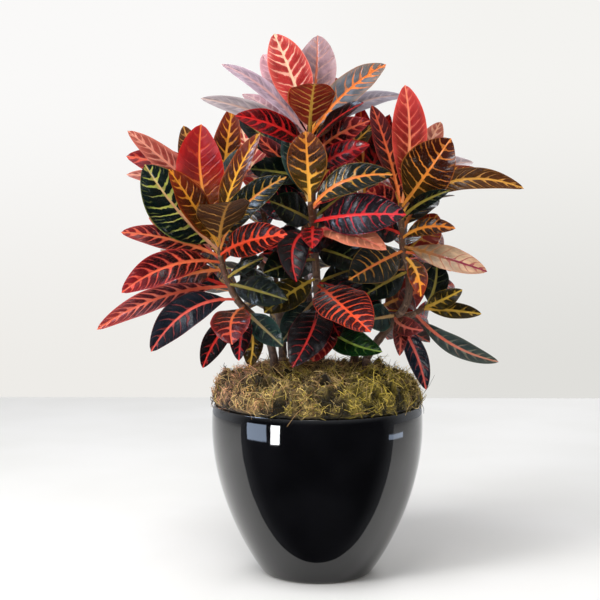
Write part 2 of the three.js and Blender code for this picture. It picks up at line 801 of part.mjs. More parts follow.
// What each cell of a view holds: for each item, the nearest and the furthest depth.
function spansByCell(items, covers, view) {
  const cells = new Map();
  covers.forEach((cover, number) => {
    for (const { views, share } of cover) {
      const [across, along, depth] = views[view];
      const key = Math.floor(across / SETTLE_CELL) * 1000 + Math.floor(along / SETTLE_CELL);
      if (!cells.has(key)) cells.set(key, new Map());
      const spans = cells.get(key);
      const span = spans.get(number);
      if (!span) spans.set(number, { near: depth, far: depth, share });
      else {
        span.near = Math.min(span.near, depth);
        span.far = Math.max(span.far, depth);
      }
    }
  });
  return cells;
}

// For each pair that shares a cell: the least room with the first in front, and with the second in front.
function tightestPairs(items, cells) {
  const pairs = new Map();
  for (const spans of cells.values()) {
    const entries = [...spans];
    for (let i = 0; i < entries.length; i += 1) {
      for (let j = i + 1; j < entries.length; j += 1) {
        const [one, spanOne] = entries[i];
        const [other, spanOther] = entries[j];
        if (!mayMeet(items[one], items[other], spanOne.share, spanOther.share)) continue;
        const key = one * 1000 + other;
        if (!pairs.has(key)) pairs.set(key, [{ sign: -1 }, { sign: 1 }]);
        const rooms = [spanOther.near - spanOne.far, spanOne.near - spanOther.far];
        pairs.get(key).forEach((order, number) => {
          if (order.shares && rooms[number] >= order.room) return;
          order.room = rooms[number];
          order.shares = [spanOne.share, spanOther.share];
        });
      }
    }
  }
  return pairs;
}

// A pair is clear where either view shows one wholly in front of the other. The rest are pushed apart in the
// view that needs less: along the line of sight, or up and down.
function tightPairs(items) {
  const covers = items.map((item) => (item.tip ? leafCover(item) : item.cover));
  const [sight, plan] = [0, 1].map((view) => tightestPairs(items, spansByCell(items, covers, view)));
  const tight = [];
  for (const [key, orders] of sight) {
    if (!plan.has(key)) continue;
    const bySight = orders.map((order) => ({ ...order, view: 0 }));
    const byPlan = plan.get(key).map((order) => ({ ...order, view: 1 }));
    const best = [...bySight, ...byPlan].reduce((most, choice) => (choice.room > most.room ? choice : most));
    if (best.room < SETTLE_CLEAR) tight.push({ one: Math.floor(key / 1000), other: key % 1000, ...best });
  }
  return tight;
}

function settle(items) {
  for (let pass = 0; pass < SETTLE_PASSES; pass += 1) {
    const shifts = items.map(() => [0, 0]);
    for (const { one, other, room, sign, shares, view } of tightPairs(items)) {
      const lever = shares[0] ** 2 + shares[1] ** 2;
      if (lever < LEAST_LEVER) continue;
      const push = ((SETTLE_CLEAR - room) * SETTLE_SHARE * sign) / lever;
      shifts[one][view] += push * shares[0];
      shifts[other][view] -= push * shares[1];
    }
    items.forEach((item, number) => {
      if (!item.tip) return;
      item.give.forEach((most, view) => {
        const step = THREE.MathUtils.clamp(shifts[number][view], -SETTLE_STEP, SETTLE_STEP);
        item.bent[view] = THREE.MathUtils.clamp(item.bent[view] + step, -most, most);
      });
      item.tip = [item.aim[0], item.aim[1] + item.bent[1], item.aim[2] + item.bent[0]];
    });
  }
}

// The whole plant.

function growStems() {
  const stems = [];
  for (const stem of STEMS) {
    const canes = [];
    const leaves = [];
    stem.shoots.forEach((shoot, order) => {
      const isMain = order === 0;
      const line = caneLine(stem, shoot, isMain);
      canes.push({ line, isMain, cover: caneCover(line) });
      for (const row of shoot.leaves) leaves.push(makeLeaf(line, row, MEASURED_GIVE));
      for (const fan of shoot.fans) {
        for (const row of fanRows(line, fan)) leaves.push(makeLeaf(line, row, FAN_GIVE));
      }
    });
    stems.push({ name: stem.name, canes, leaves });
  }
  settle(stems.flatMap(({ canes, leaves }) => [...canes, ...leaves]));
  return stems;
}

function stemSolid({ canes, leaves }) {
  const pieces = [...canes.map(({ line, isMain }) => caneSolid(line, isMain)), ...leaves.map(leafSolid)];
  return pieces.reduce((whole, piece) => whole.add(piece));
}

const root = new THREE.Group();
const holes = stemHoles();
root.add(toMesh("pot", buildPot(), FINISH.pot));
for (const [name, filling, finish] of [
  ["potting_soil", buildSoil(), FINISH.soil],
  ["moss", buildMoss(), FINISH.moss],
]) {
  root.add(toMesh(name, holes.reduce((left, hole) => left.subtract(hole), filling), finish));
}
for (const stem of growStems()) root.add(toMesh(stem.name, stemSolid(stem), FINISH.leaf));

export default root;
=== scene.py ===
# Looks of the potted croton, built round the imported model.
# The tables and the shapes are in millimetres, in the model's frame, and turned to metres at the end.
import math

import bpy
import numpy as np
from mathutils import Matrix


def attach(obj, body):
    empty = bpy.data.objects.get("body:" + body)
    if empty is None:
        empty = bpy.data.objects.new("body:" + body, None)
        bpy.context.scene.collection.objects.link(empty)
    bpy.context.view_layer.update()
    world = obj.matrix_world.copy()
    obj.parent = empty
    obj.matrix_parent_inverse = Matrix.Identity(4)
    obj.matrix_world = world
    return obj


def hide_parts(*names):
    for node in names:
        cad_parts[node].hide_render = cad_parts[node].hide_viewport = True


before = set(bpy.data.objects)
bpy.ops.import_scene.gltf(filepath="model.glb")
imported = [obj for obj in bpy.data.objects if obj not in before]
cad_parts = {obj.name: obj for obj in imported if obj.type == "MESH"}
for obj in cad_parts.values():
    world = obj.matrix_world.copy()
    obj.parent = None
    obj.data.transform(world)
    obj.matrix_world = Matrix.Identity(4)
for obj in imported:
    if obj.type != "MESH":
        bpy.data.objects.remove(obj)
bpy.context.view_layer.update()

METRES = 0.001

# Sizes that the model shares with this scene.
POT_FOOT_RADIUS = 70
POT_FOOT_EDGE = 6
POT_BELLY_RADIUS = 142.5
POT_BELLY_HEIGHT = 200
POT_RIM_HEIGHT = 230
POT_WALL = 10
POT_FLOOR = 12
MOSS_EDGE_RADIUS = 136
MOSS_PLATEAU = 268
MOSS_LUMP = 7
ROOT_HEIGHT = 150.4
CANE_CLEAR_HEIGHT = 292
CANE_WALK = 60
CANE_FOOT_RADIUS = 6.5
CANE_TIP_RADIUS = 3
BRANCH_SHARE = 0.75
PETIOLE_WIDTH = 4
PETIOLE_THICKNESS = 2.6
PETIOLE_SHARE = 0.12
TIP_WIDTH = 2.4
OUTLINE_LEAN = 1.06
OUTLINE_FULLNESS = 0.7
FOLD = math.radians(12)
TWIST = math.radians(12)
TWIST_MIDDLE = 0.4
SWAY_SHARE = 0.05
ROLL = math.radians(24)
YOUNGEST_LENGTH = 0.78
FAN_VARIETY = 0.08
FAN_ARCH = 0.16
GOLDEN_SHARE = 0.618034

# The bending that keeps the leaves clear of each other, as in the model.
SETTLE_PASSES = 90
SETTLE_CELL = 6
SETTLE_CLEAR = 6
SETTLE_SHARE = 0.35
SETTLE_STEP = 7
SETTLE_ALONG = 26
SETTLE_ACROSS = 6
JOINT_SHARE = 0.3
LEAST_LEVER = 0.08
MEASURED_GIVE = (48, 6)
FAN_GIVE = (30, 55)
KEY_STEP = 1000

# The plant was measured from one eye, and depths move a place along its line of sight.
EYE_DISTANCE = 1905
EYE_HEIGHT = 528

# A leaf's look: its colours between the veins, next to them, on the side veins and on the midrib; the half
# widths of a side vein and of the flush beside it, as shares of the distance between two side veins; how much
# of the side veins shows; how far out they reach, as a share of the half width; and how much the leaf turns
# olive with yellow veins at its base, and to the flush at its tip.
LOOKS = {
    "coral": (0xB42C28, 0xD25448, 0xF8BE9E, 0xFCD0A2, 0.06, 0.14, 1, 0.9, 0, 0.2),
    "salmon": (0xA43E34, 0xD4705A, 0xF4A88E, 0xF09474, 0.05, 0.2, 0.75, 0.85, 0, 0.35),
    "ash_pink": (0xB0808A, 0xCE9CA2, 0xE0A092, 0xE6603E, 0.045, 0.2, 0.7, 0.85, 0.3, 0.5),
    "pale_pink": (0xD096A0, 0xE4B2B6, 0xF2D0CE, 0xE6A49A, 0.05, 0.16, 0.7, 0.9, 0, 0.3),
    "mauve": (0xB0A0AA, 0xC4B4BC, 0xD4BEC0, 0xC8A098, 0.035, 0.14, 0.5, 0.8, 0, 0.3),
    "rose": (0x961A1A, 0xCC423A, 0xF0846A, 0xF89670, 0.04, 0.22, 0.6, 0.8, 0.5, 0.6),
    "amber_dark": (0x2A1408, 0x64200D, 0xE49038, 0xF48E32, 0.04, 0.05, 1, 0.9, 0.6, 0.3),
    "scarlet": (0x90090C, 0xAC1412, 0xD63E24, 0xEE8032, 0.035, 0.16, 0.45, 0.7, 0.9, 0.5),
    "maroon_under": (0xC4281A, 0xCC3620, 0xFCB858, 0xFFC446, 0.035, 0.05, 1, 0.85, 0.1, 0.2),
    "maroon": (0x34090C, 0x761618, 0xD6543C, 0xE06238, 0.045, 0.1, 0.8, 0.8, 0.3, 0.5),
    # orange_glare: the grey colours between and beside its veins are painted glare, not the leaf's own
    # colour.
    "orange_glare": (0x68727C, 0x807060, 0xEC8442, 0xF27C2A, 0.06, 0.12, 1, 0.8, 0.2, 0.6),
    "crimson_net": (0x0A0306, 0x9C0E12, 0xC01A1C, 0xCE2A24, 0.07, 0.09, 1, 1, 0, 0.35),
    "fire_net": (0x080506, 0x80100E, 0xF84E2A, 0xFC5430, 0.09, -0.02, 1, 1, 0, 0.3),
    "fire_pale": (0x36161E, 0xB83C3A, 0xF08064, 0xF47050, 0.07, 0.1, 1, 1, 0, 0.6),
    "ember": (0x180509, 0x981C20, 0xE45442, 0xEE7046, 0.06, 0.09, 1, 1, 0.1, 0.7),
    "amber_wide": (0x2C1A08, 0x8E3810, 0xE0882C, 0xF29636, 0.065, 0.05, 1, 0.75, 0.9, 0.5),
    "amber": (0x441A09, 0x922E10, 0xF09C30, 0xF6A632, 0.05, 0.09, 1, 0.7, 0.9, 0.7),
    "olive_under": (0x4E3014, 0x6A361A, 0xC69248, 0xD49C42, 0.03, 0.05, 0.9, 0.85, 0.3, 0.3),
    "olive": (0x28220C, 0x4C3412, 0xC49838, 0xD4A840, 0.035, 0.06, 0.7, 0.6, 0.6, 0.3),
    "green_lime": (0x091918, 0x14261A, 0xC4C854, 0xF4AC80, 0.055, 0.04, 1, 0.72, 0, 0.2),
    "green_orange": (0x09130E, 0x1C2012, 0xC89632, 0xF07C3E, 0.035, 0.05, 0.85, 0.65, 0.3, 0.3),
    "leaf_green": (0x0E3414, 0x184018, 0x3C662A, 0xA0C054, 0.03, 0.08, 0.6, 0.7, 0, 0),
    "dark_green": (0x07120D, 0x0E1C12, 0x3C4A24, 0x9C8A3C, 0.03, 0.08, 0.5, 0.6, 0, 0),
    "teal": (0x142826, 0x203630, 0x546A52, 0xB49262, 0.03, 0.1, 0.5, 0.6, 0, 0.1),
    "teal_pink": (0x303E3C, 0x4E5048, 0x7A846E, 0xE2745C, 0.04, 0.1, 0.6, 0.7, 0, 0.4),
    "purple_red": (0x110B10, 0x2E0D17, 0xC42432, 0xE23230, 0.035, 0.05, 0.9, 0.75, 0, 0.1),
    "black_red": (0x070709, 0x1A070C, 0x8C1E20, 0xCE322A, 0.028, 0.05, 0.6, 0.6, 0, 0.2),
    "blue_black": (0x141C28, 0x221822, 0xAA4242, 0xE66054, 0.03, 0.05, 0.45, 0.7, 0, 0.3),
    "peach": (0xAC6850, 0xCE7056, 0xE29C7A, 0xDC504E, 0.06, 0.16, 0.9, 0.8, 0, 0.5),
    "peach_magenta": (0xE0BC92, 0xD69670, 0x963448, 0x881634, 0.03, 0.07, 0.8, 0.95, 0.6, 0.4),
    "dusky": (0x481A1A, 0x742C28, 0xA45446, 0xB85C4C, 0.035, 0.08, 0.7, 0.7, 0.1, 0.2),
}

# The stems as in the model, with the place of each foot. A stem's first shoot is its main cane.
FEET = {
    "leafy_stem_centre": (4, 8),
    "leafy_stem_left": (-58, -12),
    "leafy_stem_right": (66, -8),
    "leafy_stem_back_left": (-48, 58),
    "leafy_stem_back_right": (52, 60),
    "leafy_stem_back": (2, 82),
}

# Each shoot has its stem, its route of [x, z, y], its measured leaves and its fans of leaves.
# A measured leaf is [distance below the shoot's tip, x, z, y of its tip, width, arch, turn of its face to the
# eye, bow of its midrib to the left of its way out as seen, look].
# A fan is [count, distance of the first below the tip, step down, direction of its middle, spread to each
# side, rise of the first and of the last, length, width, turn of the faces to the eye], in degrees.
SHOOTS = [
    ("leafy_stem_centre", [(2, 345, 6), (-5, 470, 8), (-11, 603, 10)], [
        (6, 0, 720, 62, 56, 0.1, 0.8, -0.05, "ash_pink"),
        (8, -58, 724, 45, 56, 0.12, 0.9, -0.03, "coral"),
        (10, -73, 694, 84, 42, 0.12, 0.8, 0, "pale_pink"),
        (12, -4, 658, -92, 64, 0.16, 0, 0, "maroon_under"),
        (16, 91, 679, 26, 44, 0.1, 0.7, 0.1, "orange_glare"),
        (20, -128, 684, 30, 23, 0.12, 0.8, -0.13, "mauve"),
        (22, -156, 633, -22, 26, 0.16, 0.85, -0.09, "mauve"),
        (24, 116, 635, 74, 26, 0.14, 0.7, 0.18, "mauve"),
        (26, -100, 645, 92, 42, 0.1, 0.3, 0, "pale_pink"),
        (34, -110, 610, -48, 38, 0.2, 0.65, -0.06, "crimson_net"),
        (30, 62, 633, -62, 34, 0.14, 0.5, 0, "black_red"),
        (46, 70, 604, -40, 36, 0.16, 0.7, 0.08, "ember"),
        (64, 70, 572, -62, 32, 0.14, 0.75, 0.06, "crimson_net"),
        (214, 72, 326, -150, 68, 0.12, 0.35, -0.05, "fire_net"),
        (236, -34, 272, -118, 56, 0.18, 0.4, 0.14, "black_red"),
        (256, 88, 300, -78, 42, 0.12, 0.65, -0.22, "leaf_green"),
        (170, -74, 432, -40, 36, 0.12, 0.75, 0, "black_red"),
        (96, -74, 560, 24, 42, 0.12, 0.7, 0, "dark_green"),
        (88, 76, 604, 34, 38, 0.1, 0.6, 0, "olive"),
        (76, -106, 608, 62, 44, 0.1, 0.6, 0, "dark_green"),
        (84, -82, 588, 30, 30, 0.12, 0.65, 0.05, "maroon"),
        (130, -64, 500, -46, 46, 0.12, 0.7, 0, "dark_green"),
        (150, 84, 458, -30, 46, 0.12, 0.7, 0, "black_red"),
        (205, -72, 352, -52, 44, 0.14, 0.65, 0, "olive"),
        (215, 40, 380, 46, 44, 0.14, 0.5, 0, "dark_green"),
        (232, -48, 318, -60, 40, 0.14, 0.6, 0, "teal"),
        (225, 92, 352, -26, 42, 0.12, 0.65, 0, "dark_green"),
        (150, -66, 440, -72, 44, 0.14, 0.6, 0, "black_red"),
        (165, 66, 410, -64, 46, 0.14, 0.6, 0, "dark_green"),
        (72, -90, 540, -8, 40, 0.12, 0.7, 0, "dark_green"),
        (236, 30, 318, -66, 40, 0.14, 0.5, 0, "black_red"),
        (125, 52, 520, 44, 36, 0.12, 0.6, 0, "dark_green"),
        (212, 62, 414, 38, 36, 0.12, 0.6, 0, "dark_green"),
    ], [
        (4, 14, 13, 88, 44, (62, 30), 124, 50, 0.12),
        (5, 32, 13, 98, 64, (30, -8), 130, 52, 0.12),
        (5, 118, 31, -90, 80, (12, -30), 108, 52, 0.5),
    ]),
    ("leafy_stem_centre", [(-4, 440, 8), (-6, 468, -30), (-10, 500, -62)], [
        (4, -16, 596, -34, 54, 0.08, 0.3, 0, "amber_wide"),
        (6, -42, 600, -5, 36, 0.1, 0.3, 0, "teal"),
        (12, 101, 534, -98, 38, 0.14, 0.75, 0.24, "green_orange"),
        (14, 55, 560, -20, 38, 0.14, 0.65, 0, "ember"),
        (36, 119, 487, -126, 56, 0.16, 0.75, 0.04, "purple_red"),
        (52, 93, 438, -112, 40, 0.2, 0.1, 0, "peach"),
        (50, -28, 394, -116, 42, 0.16, 0.6, -0.3, "black_red"),
        (44, -7, 439, -104, 30, 0.14, 0.3, 0, "crimson_net"),
    ], []),
    ("leafy_stem_left", [
        (-66, 318, -14), (-84, 345, -18), (-108, 370, -24), (-127, 412, -28), (-133, 450, -30),
    ], [
        (4, -155, 605, 2, 66, 0.06, 0.85, 0.13, "scarlet"),
        (6, -76, 594, -20, 38, 0.1, 0.5, 0.06, "amber"),
        (8, -116, 499, -150, 72, 0.16, 0, 0, "olive_under"),
        (10, -199, 545, -96, 44, 0.12, 0.65, 0.03, "amber"),
        (14, -231, 551, -62, 72, 0.1, 0.9, 0.09, "green_lime"),
        (16, -41, 537, -66, 42, 0.12, 0.65, 0.16, "green_orange"),
        (20, -40, 458, -122, 44, 0.14, 0.75, 0.06, "fire_net"),
        (22, -264, 461, -58, 33, 0.14, 0.7, -0.05, "ember"),
        (26, -226, 482, 26, 38, 0.14, 0.5, 0, "peach"),
        (30, -264, 379, -92, 44, 0.16, 0.75, -0.17, "ember"),
        (40, -219, 384, -20, 44, 0.14, 0.75, -0.1, "maroon"),
        (64, -298, 329, -62, 31, 0.14, 0.75, -0.12, "fire_pale"),
        (84, -225, 299, -104, 46, 0.12, 0.75, -0.25, "blue_black"),
        (60, -40, 372, -92, 40, 0.12, 0.7, 0, "dark_green"),
        (52, -72, 425, -52, 20, 0.12, 0.65, 0, "dark_green"),
        (76, -62, 396, 24, 42, 0.12, 0.6, 0, "dark_green"),
        (66, -206, 414, 34, 38, 0.12, 0.6, 0, "black_red"),
        (9, -106, 572, 20, 36, 0.1, 0.6, 0.05, "teal_pink"),
    ], [(6, 12, 12, 106, 50, (52, -12), 122, 52, 0.12)]),
    ("leafy_stem_left", [(-84, 345, -18), (-94, 350, -36), (-100, 360, -52)], [
        (2, -115, 309, -136, 54, 0.14, 0.2, -0.15, "maroon"),
        (8, -155, 277, -92, 32, 0.12, 0.65, -0.14, "black_red"),
        (12, -106, 287, -100, 30, 0.16, 0.5, 0, "purple_red"),
        (20, -92, 278, -64, 30, 0.1, 0.65, 0.18, "olive"),
        (10, -46, 307, -96, 34, 0.14, 0.65, 0, "teal"),
    ], []),
    ("leafy_stem_right", [
        (84, 318, -10), (105, 343, -14), (122, 372, -12), (122, 412, -10), (114, 442, -8), (112, 500, -10),
    ], [
        (4, 116, 656, 22, 48, 0.1, 0.85, -0.1, "rose"),
        (6, 178, 586, -84, 72, 0.1, 0.75, -0.04, "amber_dark"),
        (8, 72, 630, 18, 36, 0.1, 0.5, 0, "maroon"),
        (12, 164, 602, 74, 40, 0.1, 0.5, 0, "salmon"),
        (14, 276, 519, -42, 31, 0.2, 0.75, 0.28, "olive_under"),
        (18, 208, 560, 60, 40, 0.12, 0.5, 0.2, "mauve"),
        (22, 216, 545, 16, 32, 0.12, 0.65, 0.2, "amber"),
        (22, 177, 517, -72, 20, 0.12, 0.85, 0.1, "dark_green"),
        (48, 185, 466, -58, 24, 0.14, 0.75, 0.18, "amber_dark"),
        (58, 228, 408, -66, 34, 0.14, 0.7, -0.02, "peach_magenta"),
        (64, 42, 402, -74, 56, 0.12, 0.75, 0, "green_orange"),
        (72, 139, 374, -60, 26, 0.12, 0.85, 0.18, "amber"),
        (92, 60, 374, -40, 44, 0.12, 0.75, 0, "dark_green"),
        (66, 203, 406, -28, 26, 0.12, 0.7, 0.08, "ash_pink"),
        (42, 72, 466, -28, 44, 0.12, 0.7, 0, "black_red"),
        (14, 66, 516, -34, 40, 0.12, 0.7, 0, "ember"),
        (124, 184, 384, 46, 34, 0.12, 0.6, 0, "ember"),
    ], [(6, 12, 13, 88, 40, (54, -10), 122, 52, 0.12)]),
    ("leafy_stem_right", [(105, 343, -14), (128, 350, -6), (148, 362, 0)], [
        (2, 160, 428, 10, 36, 0.06, 0.85, -0.12, "dark_green"),
        (4, 195, 384, -60, 26, 0.12, 0.85, 0, "olive"),
        (8, 221, 351, -34, 23, 0.12, 0.75, 0, "olive"),
        (20, 245, 286, -62, 27, 0.12, 0.75, -0.2, "teal_pink"),
    ], [(3, 10, 9, 92, 36, (20, -8), 104, 48, 0.12)]),
    ("leafy_stem_right", [(105, 343, -14), (105, 345, -30), (103, 349, -46)], [
        (2, 64, 342, -74, 38, 0.12, 0.6, 0, "teal"),
        (6, 143, 323, -118, 26, 0.14, 0.4, -0.16, "dusky"),
        (10, 147, 248, -70, 28, 0.2, 0.7, 0.13, "blue_black"),
        (14, 111, 300, -116, 20, 0.12, 0.3, 0.1, "dusky"),
    ], []),
    ("leafy_stem_back_left", [(-50, 340, 70), (-62, 430, 88), (-76, 506, 104)], [], [
        (10, 6, 13, 104, 84, (66, -16), 140, 56, 0.12),
    ]),
    ("leafy_stem_back_left", [(-57, 400, 82), (-96, 440, 66), (-132, 492, 44)], [
        (1, -113, 626, 66, 40, 0.1, 0.8, -0.02, "amber"),
        (2, -179, 603, 48, 42, 0.1, 0.8, 0.04, "olive_under"),
        (6, -254, 596, -4, 36, 0.1, 0.7, 0, "salmon"),
        (10, -256, 562, 38, 46, 0.12, 0.7, -0.22, "ember"),
        (14, -256, 537, 74, 26, 0.14, 0.6, -0.15, "salmon"),
    ], [(5, 14, 11, 135, 55, (35, -12), 134, 54, 0.12)]),
    ("leafy_stem_back_left", [(-51, 352, 74), (-80, 366, 98), (-108, 384, 112)], [], [
        (6, 4, 11, 112, 58, (52, -12), 122, 56, 0.12),
    ]),
    ("leafy_stem_back_right", [(54, 340, 72), (58, 440, 88), (64, 520, 96)], [
        (6, 96, 624, 52, 34, 0.1, 0.9, 0, "crimson_net"),
        (10, 57, 625, 74, 36, 0.1, 0.9, 0, "scarlet"),
    ], [(10, 8, 13, 82, 82, (60, -20), 138, 56, 0.12)]),
    ("leafy_stem_back_right", [(56, 390, 80), (92, 412, 104), (118, 436, 118)], [], [
        (7, 4, 11, 74, 60, (50, -22), 108, 54, 0.12),
    ]),
    ("leafy_stem_back_right", [(54, 345, 73), (70, 350, 100), (88, 362, 122)], [], [
        (6, 4, 11, 74, 58, (48, -16), 120, 54, 0.12),
    ]),
    ("leafy_stem_back", [(-2, 335, 106), (-10, 370, 146), (-16, 402, 182)], [], [
        (8, 4, 10, 94, 50, (50, -22), 122, 54, 0.12),
    ]),
]

# Looks of the leaves that are placed by a rule, from a shoot's tip downwards.
YOUNG_LOOKS = ["scarlet", "coral", "maroon_under", "amber", "crimson_net"]
GROWN_LOOKS = ["ember", "amber", "maroon", "olive_under", "green_orange", "purple_red", "fire_net"]
OLD_LOOKS = ["dark_green", "black_red", "green_lime", "olive", "purple_red", "teal", "ember"]
YOUNG_REACH = 32
GROWN_REACH = 90

# Random draws that are the same in every run and the same as the model's.
DRAW_FACTOR = 16807
DRAW_RANGE = 2147483647
draw_state = 20240
look_draws = np.random.default_rng(417)


def draw():
    global draw_state
    draw_state = (draw_state * DRAW_FACTOR) % DRAW_RANGE
    return (draw_state / DRAW_RANGE) * 2 - 1


def srgb(colour):
    """The linear red, green and blue of 0xRRGGBB."""
    value = np.array([colour >> 16, colour >> 8 & 255, colour & 255]) / 255
    return np.where(value <= 0.04045, value / 12.92, ((value + 0.055) / 1.055) ** 2.4)


def lerp(start, end, share):
    return start + (end - start) * share


def smooth(value, start, end):
    """0 before start, 1 after end, and an S curve between them."""
    share = np.clip((value - start) / (end - start), 0, 1)
    return share * share * (3 - 2 * share)


def unit(vectors):
    return vectors / np.linalg.norm(vectors, axis=-1, keepdims=True)


def square_to(ahead, way):
    """The unit vector nearest to way that stands square on the unit vector ahead."""
    return unit(way - (way * ahead).sum(-1, keepdims=True) * ahead)


def round_angles(count):
    return np.arange(count) / count * 2 * np.pi


def along_sight(seen):
    """The place of [x, z, y]: as seen on the plane y = 0, moved along the line of sight to the depth y."""
    seen = np.asarray(seen, float)
    x, z, y = seen[..., 0], seen[..., 1], seen[..., 2]
    share = (EYE_DISTANCE + y) / EYE_DISTANCE
    return np.stack([x * share, y, EYE_HEIGHT + (z - EYE_HEIGHT) * share], -1)


def as_seen(point):
    x, y, z = point[..., 0], point[..., 1], point[..., 2]
    share = (EYE_DISTANCE + y) / EYE_DISTANCE
    return np.stack([x / share, EYE_HEIGHT + (z - EYE_HEIGHT) / share, y], -1)


# Canes.


def smooth_route(points):
    """Points of a Catmull-Rom curve through the given ones."""
    points = np.asarray(points, float)
    padded = np.vstack([2 * points[0] - points[1], points, 2 * points[-1] - points[-2]])
    line = []
    for step in range(CANE_WALK + 1):
        place = (len(points) - 1) * step / CANE_WALK
        first = min(int(place), len(points) - 2)
        weight = place - first
        one, two, three, four = padded[first:first + 4]
        start = (three - one) / 2
        end = (four - two) / 2
        square = -3 * two + 3 * three - 2 * start - end
        cube = 2 * two - 2 * three + start + end
        line.append(two + start * weight + square * weight**2 + cube * weight**3)
    return np.array(line)


def cane_line(stem, route, is_main):
    """A main cane stands straight in the moss; a branch starts on the main cane."""
    route = along_sight(route)
    if not is_main:
        return smooth_route(route)
    foot = FEET[stem]
    free = smooth_route(np.vstack([(*foot, CANE_CLEAR_HEIGHT), route]))
    return np.vstack([(*foot, ROOT_HEIGHT), free])


def place_on_cane(line, below):
    """The point and the direction of a cane at a distance below its tip."""
    left = below
    for number in range(len(line) - 1, 0, -1):
        piece = line[number] - line[number - 1]
        length = np.linalg.norm(piece)
        if left <= length or number == 1:
            axis = piece / length
            return line[number] - axis * left, axis
        left -= length


# Leaves.


def fan_rows(line, fan):
    """Leaves round a shoot at the golden angle, upright at its tip and drooping lower down."""
    count, first, step, towards, spread, rise, longest, widest, face = fan
    rows = []
    for number in range(count):
        share = number / max(count - 1, 1)
        turn = (number * GOLDEN_SHARE) % 1
        azimuth = math.radians(towards + spread * (turn * 2 - 1))
        slope = math.radians(lerp(*rise, share))
        below = first + step * number
        grown = lerp(YOUNGEST_LENGTH, 1, min(share * 2, 1))
        reach = longest * grown * (1 + draw() * FAN_VARIETY)
        point, _ = place_on_cane(line, below)
        flat = math.cos(slope) * reach
        tip = point + np.array([flat * math.cos(azimuth), flat * math.sin(azimuth), math.sin(slope) * reach])
        width = widest * (1 + draw() * FAN_VARIETY)
        rows.append((below, *as_seen(tip), width, FAN_ARCH, face, 0, fan_look(below)))
    return rows


def fan_look(below):
    looks = OLD_LOOKS
    if below < GROWN_REACH:
        looks = GROWN_LOOKS
    if below < YOUNG_REACH:
        looks = YOUNG_LOOKS
    return looks[look_draws.integers(len(looks))]


def make_leaf(cane, row, give):
    below, x, z, y, width, arch, face, bow, look = row
    base, axis = place_on_cane(cane["line"], below)
    is_fan = give is FAN_GIVE
    roll = draw() * ROLL if is_fan else 0
    twist = draw() * TWIST
    sway = draw() * SWAY_SHARE if is_fan else 0
    return dict(base=base, axis=axis, aim=(x, z, y), give=give, width=width, arch=arch, face=face, bow=bow,
                roll=roll, twist=twist, sway=sway, cane=cane["number"], stem=cane["stem"], look=look)


def grow():
    """The canes, and all leaves as one array for each of their properties."""
    canes = []
    leaves = []
    for number, (stem, route, rows, fans) in enumerate(SHOOTS):
        is_main = stem not in [cane["stem"] for cane in canes]
        cane = dict(number=number, stem=stem, is_main=is_main, line=cane_line(stem, route, is_main))
        canes.append(cane)
        leaves += [make_leaf(cane, row, MEASURED_GIVE) for row in rows]
        for fan in fans:
            leaves += [make_leaf(cane, row, FAN_GIVE) for row in fan_rows(cane["line"], fan)]
    return canes, {key: np.array([leaf[key] for leaf in leaves]) for key in leaves[0]}


def turned(vector, normal, angle):
    """vector and normal stand square on each other; this turns normal about vector."""
    return normal * np.cos(angle) + np.cross(vector, normal) * np.sin(angle)


def leaf_frames(leaves, bent):
    """Each leaf's tip, its upper face's normal at mid-length and the control point of its arched midrib."""
    aim = leaves["aim"].astype(float)
    aim[:, 1] += bent[:, 1]
    aim[:, 2] += bent[:, 0]
    tip = along_sight(aim)
    chord = tip - leaves["base"]
    length = np.linalg.norm(chord, axis=-1, keepdims=True)
    ahead = chord / length
    to_eye = np.broadcast_to([0.0, -1.0, 0.0], ahead.shape)
    facing = lerp(square_to(ahead, leaves["axis"]), square_to(ahead, to_eye), leaves["face"][:, None])
    normal = turned(ahead, unit(facing), leaves["roll"][:, None])
    across = np.cross(ahead, normal)
    beside = unit(np.cross(to_eye, ahead))
    control = (leaves["base"] + tip) / 2 + normal * leaves["arch"][:, None] * length
    control = control + (across * leaves["sway"][:, None] + beside * leaves["bow"][:, None]) * length
    return dict(tip=tip, normal=normal, control=control, length=length[:, 0])


def half_width(width, t):
    along = np.clip((t - PETIOLE_SHARE) / (1 - PETIOLE_SHARE), 0, 1)
    outline = np.maximum(np.sin(np.pi * along**OUTLINE_LEAN), 0) ** OUTLINE_FULLNESS
    stalk = lerp(PETIOLE_WIDTH, TIP_WIDTH, along) / 2
    return np.where(t <= PETIOLE_SHARE, PETIOLE_WIDTH / 2, np.maximum(width / 2 * outline, stalk))


def leaf_stations(leaves, frames, t):
    """Midrib points, normals and directions across, for t of the shape (leaves or 1, along, across)."""
    places = (leaves["base"], frames["control"], frames["tip"], frames["normal"])
    base, control, tip, normal = [values[:, None, None, :] for values in places]
    share = t[..., None]
    middle = base * (1 - share) ** 2 + control * 2 * share * (1 - share) + tip * share**2
    ahead = unit((control - base) * (1 - share) + (tip - control) * share)
    turn = leaves["twist"][:, None, None, None] * (share - TWIST_MIDDLE)
    normal = turned(ahead, square_to(ahead, normal), turn)
    return middle, normal, np.cross(ahead, normal)


# Bending the leaves clear of each other.


